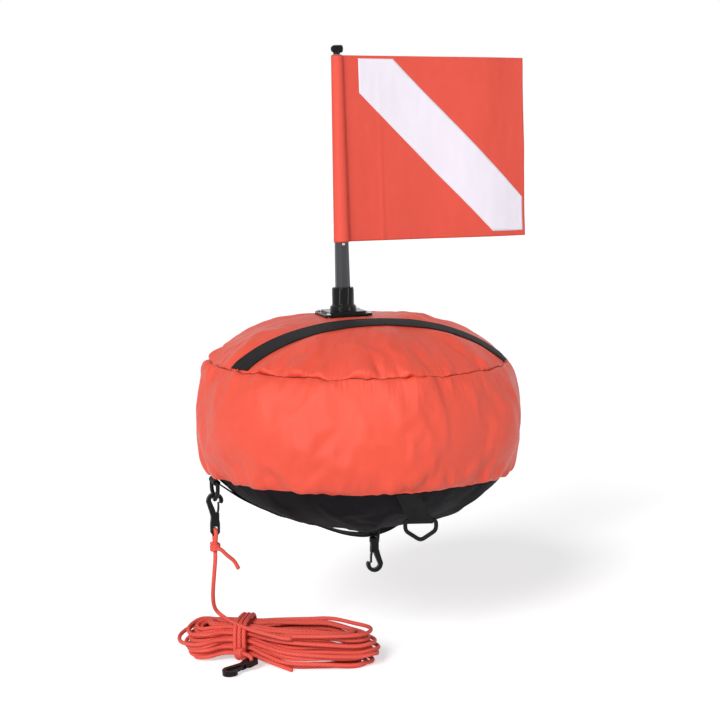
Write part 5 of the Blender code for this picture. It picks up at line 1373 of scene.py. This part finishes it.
def flag_row(share):
    """One row of the folded sheet: flag, sleeve and the seam allowance behind it."""
    front = [flag_point(1 - step / FLAG_COLUMNS, share, -LAYER) for step in range(FLAG_COLUMNS)]
    sleeve = []
    for step in range(SLEEVE_COLUMNS + 1):
        turn = math.tau - SLEEVE_SLIT - (math.tau - 2 * SLEEVE_SLIT) * step / SLEEVE_COLUMNS
        sleeve.append(sleeve_point(turn, share))
    sewn = [SEAM_SHARE * (step + 1) / SEAM_COLUMNS for step in range(SEAM_COLUMNS)]
    return front + sleeve + [flag_point(place, share, LAYER) for place in sewn]


def flag_sheet():
    """The folded sheet, and the width that it is cut to."""
    grid = [flag_row(row / FLAG_ROWS) for row in range(FLAG_ROWS + 1)]
    along = distances(grid[0])
    flat = [[(reach, FLAG_HEIGHT * row / FLAG_ROWS) for reach in along] for row in range(FLAG_ROWS + 1)]
    return grid_object("flag_sheet", grid, flat), along[-1]


flag, flag_cut_width = flag_sheet()
print("flag cut", round(flag_cut_width, 3), "x", FLAG_HEIGHT, "m")

# %% The flag's thickness and finish
applied(flag, "SOLIDIFY", thickness=CLOTH_THICKNESS, offset=0)
dress(flag, flag_cloth)
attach(flag, "flag")
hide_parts("flag_cloth")
print(len(flag.data.polygons), "faces in the flag")

# %% [markdown]
# The white diagonal is a strip of its own, sewn on each face of the flag. It starts in the upper
# corner at the mast and ends in the lower outer corner, as the common divers' flag has it.

# %% The two white stripes
STRIPE_UPPER = ((0.085, 1.0), (0.27, 1.0), (0.985, 0.235), (0.985, 0.03))
STRIPE_LOWER = ((0.085, 0.80), (0.80, 0.03), (0.985, 0.03))
STRIPE_HEM = 0.016
STRIPE_COLUMNS = 110
STRIPE_ROWS = 22
STRIPE_THICKNESS = 0.0003
STRIPE_OFFSET = 0.0011


def stripe(name, side):
    """A strip of cloth that follows the flag's ripples on one of its faces."""
    upper = list(zip(*STRIPE_UPPER))
    lower = list(zip(*STRIPE_LOWER))
    shares = np.linspace(STRIPE_UPPER[0][0], STRIPE_UPPER[-1][0], STRIPE_COLUMNS).tolist()
    shares = sorted(shares + [STRIPE_UPPER[1][0], STRIPE_LOWER[1][0]])
    grid = []
    flat = []
    for share in shares:
        low = float(np.interp(share, lower[0], lower[1]))
        high = float(np.interp(share, upper[0][:3], upper[1][:3])) - STRIPE_HEM
        heights = [low + (high - low) * row / STRIPE_ROWS for row in range(STRIPE_ROWS + 1)]
        grid.append([flag_point(share, height, side * STRIPE_OFFSET) for height in heights])
        flat.append([(share * FLAG_WIDTH, height * FLAG_HEIGHT) for height in heights])
    made = grid_object(name, grid, flat)
    applied(made, "SOLIDIFY", thickness=STRIPE_THICKNESS, offset=0)
    dress(made, white_cloth)
    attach(made, "flag")
    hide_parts(f"flag_{name}")
    return made


stripe_front = stripe("stripe_front", -1)
stripe_back = stripe("stripe_back", 1)
print("stripes of", len(stripe_front.data.polygons), "faces")

# %% [markdown]
# ## Stitches
# Every sewn line shows as a row of short raised stitches. One stitch is a small rounded grain
# with few faces, and each row copies it along its line.

# %% Rows of stitches
STITCH_PITCH = 0.0034
STITCH_LENGTH = 0.0024
STITCH_RADIUS = 0.00028
STITCH_SIDES = 6
STITCH_RINGS = ((-0.7, 0.8), (0.0, 1.0), (0.7, 0.8))


def stitch_places(line):
    """Place, direction and normal of each stitch along a line of (place, normal) pairs."""
    gone = 0.0
    due = STITCH_PITCH / 2
    for (a, a_normal), (b, _) in zip(line, line[1:]):
        span = (b - a).length
        while due <= gone + span and span > 0:
            ahead = (b - a) / span
            up = (a_normal - ahead * a_normal.dot(ahead)).normalized()
            yield a + ahead * (due - gone), ahead, up
            due += STITCH_PITCH
        gone += span


def add_stitch(verts, faces, place, ahead, up):
    """Adds one stitch: three rings of points, the sides between them and two ends."""
    side = ahead.cross(up)
    first = len(verts)
    for step, reach in STITCH_RINGS:
        for corner in range(STITCH_SIDES):
            angle = math.tau * corner / STITCH_SIDES
            ring = side * math.cos(angle) + up * math.sin(angle)
            verts.append(place + ahead * step * STITCH_LENGTH / 2 + ring * reach * STITCH_RADIUS)
    for low in (first, first + STITCH_SIDES):
        high = low + STITCH_SIDES
        for corner in range(STITCH_SIDES):
            following = (corner + 1) % STITCH_SIDES
            faces.append([low + corner, low + following, high + following, high + corner])
    faces.append([first + corner for corner in range(STITCH_SIDES)][::-1])
    faces.append([first + 2 * STITCH_SIDES + corner for corner in range(STITCH_SIDES)])


def stitch_rows(name, lines, material):
    """Stitches along lines of (place, normal) pairs, as one mesh."""
    verts = []
    faces = []
    for line in lines:
        for stitch in stitch_places(line):
            add_stitch(verts, faces, *stitch)
    made = mesh_object(name, verts, faces, [(0, 0)] * sum(len(face) for face in faces))
    dress(made, material)
    return made


# %% The flag's sewn lines
SEWN_LINE_STEPS = 60
SLEEVE_SEAM = 0.010
HEM_START = 0.03
HEM_OUTER = 0.989
HEM_LOWER = 0.026
HEM_UPPER = 0.987
SEWN_LINES = (
    ((SLEEVE_SEAM, 0.002), (SLEEVE_SEAM, 0.998)),
    ((HEM_START, HEM_LOWER), (HEM_OUTER, HEM_LOWER)),
    ((HEM_START, HEM_UPPER), (HEM_OUTER, HEM_UPPER)),
    ((HEM_OUTER, 0.01), (HEM_OUTER, 0.99)),
)


def flag_line(start, end, side):
    """Places and normals along a straight line over the flag, between two pairs of shares."""
    normal = FLAG_FRAME.to_3x3() @ Vector((0, side, 0))
    line = []
    for step in range(SEWN_LINE_STEPS + 1):
        t = step / SEWN_LINE_STEPS
        share = start[0] + (end[0] - start[0]) * t
        height = start[1] + (end[1] - start[1]) * t
        line.append((flag_point(share, height, side * (LAYER + CLOTH_THICKNESS / 2)), normal))
    return line


flag_seams = [flag_line(start, end, side) for side in (-1, 1) for start, end in SEWN_LINES]
flag_stitches = stitch_rows("flag_stitches", flag_seams, flag_cloth)
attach(flag_stitches, "flag")
print(len(flag_stitches.data.polygons), "faces in the flag's stitches")

# %% [markdown]
# ## Webbing
# A wide band of webbing crosses the front of the dome and is sewn into the seam at both ends.
# It lies on the puckered cloth, so each of its points is dropped onto the finished panel.
# Narrower webbing holds the rings and runs slack under the belly, where the hook hangs.

# %% A sheet of webbing from rows of points
WEBBING_THICKNESS = 0.0016


def webbing(name, grid):
    """Webbing from rows across it; the rows' order runs along it."""
    along = distances([row[len(row) // 2] for row in grid])
    across = distances(grid[0])
    made = grid_object(name, grid, [[(aside, ahead) for aside in across] for ahead in along])
    applied(made, "SOLIDIFY", thickness=WEBBING_THICKNESS, offset=0)
    applied(made, "BEVEL", width=WEBBING_THICKNESS / 4, segments=2, limit_method="ANGLE")
    dress(made, black_webbing)
    return made


# %% The band over the dome
BAND_MARGIN = 0.002
BAND_STATIONS = 120
BAND_ROWS = 12
ABOVE_DOME_SHARE = 1.4
BAND_LIFT = 0.0014
BAND_FLOOR = 0.0013
BAND_SMOOTHING = 14


def surface_tree(*pieces):
    """A search tree over the finished meshes."""
    verts = []
    faces = []
    for piece in pieces:
        first = len(verts)
        verts += [vertex.co.copy() for vertex in piece.data.vertices]
        faces += [[first + corner for corner in polygon.vertices] for polygon in piece.data.polygons]
    return BVHTree.FromPolygons(verts, faces)


dome_tree = surface_tree(cover_top)


def on_dome(x, y, lift):
    """A point above the finished dome over x and y, and the dome's normal there."""
    origin = Vector((x, y, DOME_RISE * ABOVE_DOME_SHARE))
    hit, normal, _, _ = dome_tree.ray_cast(origin, Vector((0, 0, -1)))
    if hit is None:
        hit, normal, _, _ = dome_tree.find_nearest(Vector((x, y, DOME_RISE / 2)))
    return hit + normal * lift, normal


def clear_of_cloth(point):
    """The band's point, or the one just off the cloth where the cloth stands higher."""
    least = on_dome(point.x, point.y, BAND_FLOOR)[0]
    return least if least.z > point.z else point


def smoothed(grid):
    """The grid with each inner row drawn towards its neighbours."""
    inner = []
    for before, row, after in zip(grid, grid[1:], grid[2:]):
        inner.append([(a + b * 2 + c) / 4 for a, b, c in zip(before, row, after)])
    return [grid[0], *inner, grid[-1]]


def band_grid():
    reach = FLOAT_RADIUS * SIDE_SHARES[0][0] - BAND_MARGIN
    grid = []
    for station in range(BAND_STATIONS + 1):
        share = 2 * station / BAND_STATIONS - 1
        row = []
        for place in range(BAND_ROWS + 1):
            y = -BAND_OFFSET + BAND_WIDTH * (place / BAND_ROWS - 1 / 2)
            x = share * math.sqrt(reach * reach - y * y)
            row.append(on_dome(x, y, BAND_LIFT)[0])
        grid.append(row)
    for _ in range(BAND_SMOOTHING):
        grid = smoothed(grid)
    return [[clear_of_cloth(point) for point in row] for row in grid]


band_rows = band_grid()
band = webbing("top_band", band_rows)
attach(band, "float")
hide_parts("top_strap")
band_seams = []
for place in (1, BAND_ROWS - 1):
    line = [row[place] for row in band_rows]
    ups = [on_dome(point.x, point.y, 0)[1] for point in line]
    band_seams.append([(point + up * WEBBING_THICKNESS / 2, up) for point, up in zip(line, ups)])
band_stitches = stitch_rows("band_stitches", band_seams, black_webbing)
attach(band_stitches, "float")
print("band of", len(band.data.polygons), "faces")

# %% The keel webbing and the two tabs
WEBBING_WIDTH = 0.038
WEBBING_ROWS = 8
KEEL_LINE = (
    (-0.2308, -0.1133), (-0.2136, -0.1257), (-0.1965, -0.1369), (-0.1793, -0.1463), (-0.1621, -0.1545),
    (-0.1471, -0.1621), (-0.1321, -0.1677), (-0.1171, -0.1733), (-0.1021, -0.1789), (-0.0871, -0.1823),
    (-0.0720, -0.1871), (-0.0570, -0.1933), (-0.0420, -0.1990), (-0.0270, -0.2037), (-0.0120, -0.2071),
    (0.0030, -0.2090), (0.0180, -0.2084), (0.0330, -0.2053), (0.0480, -0.2004), (0.0630, -0.1928),
    (0.0781, -0.1858), (0.0931, -0.1810), (0.1081, -0.1767), (0.1231, -0.1711), (0.1381, -0.1654),
    (0.1531, -0.1594), (0.1681, -0.1513), (0.1831, -0.1432), (0.1982, -0.1351), (0.2132, -0.1213),
    (0.2282, -0.1068),
)
LOOP_RADIUS = 0.0048
FRONT_RING_PLACE = Vector((0.0390, -0.20897, -0.14602))
FRONT_TAB_START = Vector((0.0100, -0.2342, -0.0998))
FRONT_HEM_ACROSS = Vector((0.9991, 0.0426, 0))
FRONT_ACROSS = Vector((0.9848, -0.1736, 0))
LEFT_RING_PLACE = Vector((-0.23747, 0, -0.10852))
LEFT_TAB_START = Vector((-0.2344, 0, -0.0998))
RIBBON_STEP = 0.003
FRONT_TAB_STEPS = 18
LEFT_TAB_STEPS = 3
FRONT_LOOP_DEG = (180, 250)
LEFT_LOOP_DEG = (120, 260)
LOOP_STEPS = 24
UP = Vector((0, 0, 1))


def ribbon_grid(line, axes):
    """Rows across a line of points, each along its own width direction."""
    grid = []
    for place, across in zip(line, axes):
        across = across.normalized()
        shares = [row / WEBBING_ROWS - 1 / 2 for row in range(WEBBING_ROWS + 1)]
        grid.append([place + across * WEBBING_WIDTH * share for share in shares])
    return grid


def loop_round(bar, along, start_deg, sweep_deg):
    """Points on an arc round a bar, in the plane of a direction and the vertical."""
    points = []
    for step in range(LOOP_STEPS + 1):
        angle = math.radians(start_deg + sweep_deg * step / LOOP_STEPS)
        points.append(bar + (along * math.cos(angle) + UP * math.sin(angle)) * LOOP_RADIUS)
    return points


def steps_between(start, end, count):
    """Steps from the start towards the end, without the end."""
    return [start.lerp(end, step / count) for step in range(count)]


keel_line = smooth_line([(x, 0, z) for x, z in KEEL_LINE], RIBBON_STEP)
keel_rows = ribbon_grid(keel_line, [Vector((0, 1, 0))] * len(keel_line))
keel = webbing("keel_webbing", keel_rows)
front_loop = loop_round(FRONT_RING_PLACE, UP.cross(FRONT_ACROSS), *FRONT_LOOP_DEG)
front_line = steps_between(FRONT_TAB_START, front_loop[0], FRONT_TAB_STEPS) + front_loop
front_axes = steps_between(FRONT_HEM_ACROSS, FRONT_ACROSS, FRONT_TAB_STEPS)
front_rows = ribbon_grid(front_line, front_axes + [FRONT_ACROSS] * len(front_loop))
front_tab = webbing("front_webbing", front_rows)
left_loop = loop_round(LEFT_RING_PLACE, Vector((1, 0, 0)), *LEFT_LOOP_DEG)
left_line = steps_between(LEFT_TAB_START, left_loop[0], LEFT_TAB_STEPS) + left_loop
left_tab = webbing("left_webbing", ribbon_grid(left_line, [Vector((0, 1, 0))] * len(left_line)))
for piece, node in ((keel, "keel_strap"), (front_tab, "front_tab"), (left_tab, "left_tab")):
    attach(piece, "float")
    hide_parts(node)
print("webbing of", [len(piece.data.polygons) for piece in (keel, front_tab, left_tab)])

# %% [markdown]
# ## Moulded edges
# A moulded or turned piece never has a knife edge. The CAD nodes come as loose triangles, so a
# weld joins them, a small bevel rounds their edges and weighted normals keep their flats flat.

# %% Rounded edges on the CAD nodes
WELD_REACH = 0.00002
EDGE_SEGMENTS = 3
EDGE_ANGLE = math.radians(24)


def round_edges(node, radius):
    for polygon in node.data.polygons:
        polygon.use_smooth = True
    weld = node.modifiers.new("weld", "WELD")
    weld.merge_threshold = WELD_REACH
    edge = node.modifiers.new("edges", "BEVEL")
    edge.width = radius
    edge.segments = EDGE_SEGMENTS
    edge.limit_method = "ANGLE"
    edge.angle_limit = EDGE_ANGLE
    edge.use_clamp_overlap = True
    node.modifiers.new("normals", "WEIGHTED_NORMAL")


for _, radius, names in HARD_PIECES:
    for name in names:
        round_edges(NODES[name], radius)
print("edges rounded on", sum(len(names) for _, _, names in HARD_PIECES), "nodes")

# %% [markdown]
# ## Floor, light and background
# The object stands over a plain pale floor in soft light from the left front. The white
# background is the floor's and the world's colour for the camera and for reflections only,
# so no extra light falls on the object.

# %% Floor
FLOOR_GAP = 0.0003
FLOOR_SIZE = 60
FLOOR_COLOUR = (0.92, 0.91, 0.93, 1)
FLOOR_GLOW = 0.51
FLOOR_ROUGHNESS = 0.9


def seen_share(tree):
    """1 where the camera, a reflection or a transparent piece sees the surface."""
    path = tree.nodes.new("ShaderNodeLightPath")
    first = calc(tree, "MAXIMUM", path.outputs["Is Camera Ray"], path.outputs["Is Glossy Ray"])
    return calc(tree, "MAXIMUM", first, path.outputs["Is Transmission Ray"])


bpy.ops.object.select_all(action="DESELECT")
bpy.ops.mesh.primitive_plane_add(size=FLOOR_SIZE, location=(0, 0, FLOOR_LEVEL - FLOOR_GAP))
floor = bpy.context.active_object
floor.name = "floor"
floor_paint, tree, shader = finish(
    "floor_paint",
    FLOOR_ROUGHNESS,
    Base_Color=FLOOR_COLOUR,
    Specular_IOR_Level=0,
    Emission_Color=(1, 1, 1, 1),
)
wire(tree, shader.inputs["Emission Strength"], calc(tree, "MULTIPLY", seen_share(tree), FLOOR_GLOW))
dress(floor, floor_paint)
print("floor at", round(FLOOR_LEVEL - FLOOR_GAP, 4))

# %% World and lamps
WORLD_LIGHT = 0.27
world = bpy.data.worlds.new("studio")
world.use_nodes = True
scene.world = world
tree = world.node_tree
background = tree.nodes["Background"]
background.inputs["Color"].default_value = (1, 1, 1, 1)
strength = calc(tree, "MULTIPLY_ADD", seen_share(tree), 1 - WORLD_LIGHT, WORLD_LIGHT)
wire(tree, background.inputs["Strength"], strength)
SUN_PLACE = Vector((-1.8, -2.5, 1.7))
SUN_POWER = 2.20
SUN_WIDTH_DEG = 17
STRIPS = (
    ("left_strip", (-2.3, -1.9, 0.5), (0.45, 1.8), 18),
    ("right_strip", (1.9, -2.2, 0.4), (0.35, 1.8), 13),
)


def add_lamp(name, kind, place, power):
    data = bpy.data.lights.new(name, kind)
    data.energy = power
    lamp = bpy.data.objects.new(name, data)
    scene.collection.objects.link(lamp)
    lamp.location = place
    lamp.rotation_euler = (-Vector(place)).to_track_quat("-Z", "Y").to_euler()
    return data


sun = add_lamp("sun", "SUN", SUN_PLACE, SUN_POWER)
sun.angle = math.radians(SUN_WIDTH_DEG)
for title, place, (width, height), power in STRIPS:
    strip = add_lamp(title, "AREA", place, power)
    strip.shape = "RECTANGLE"
    strip.size = width
    strip.size_y = height
scene.view_settings.view_transform = "Standard"
print(len(STRIPS) + 1, "lamps")
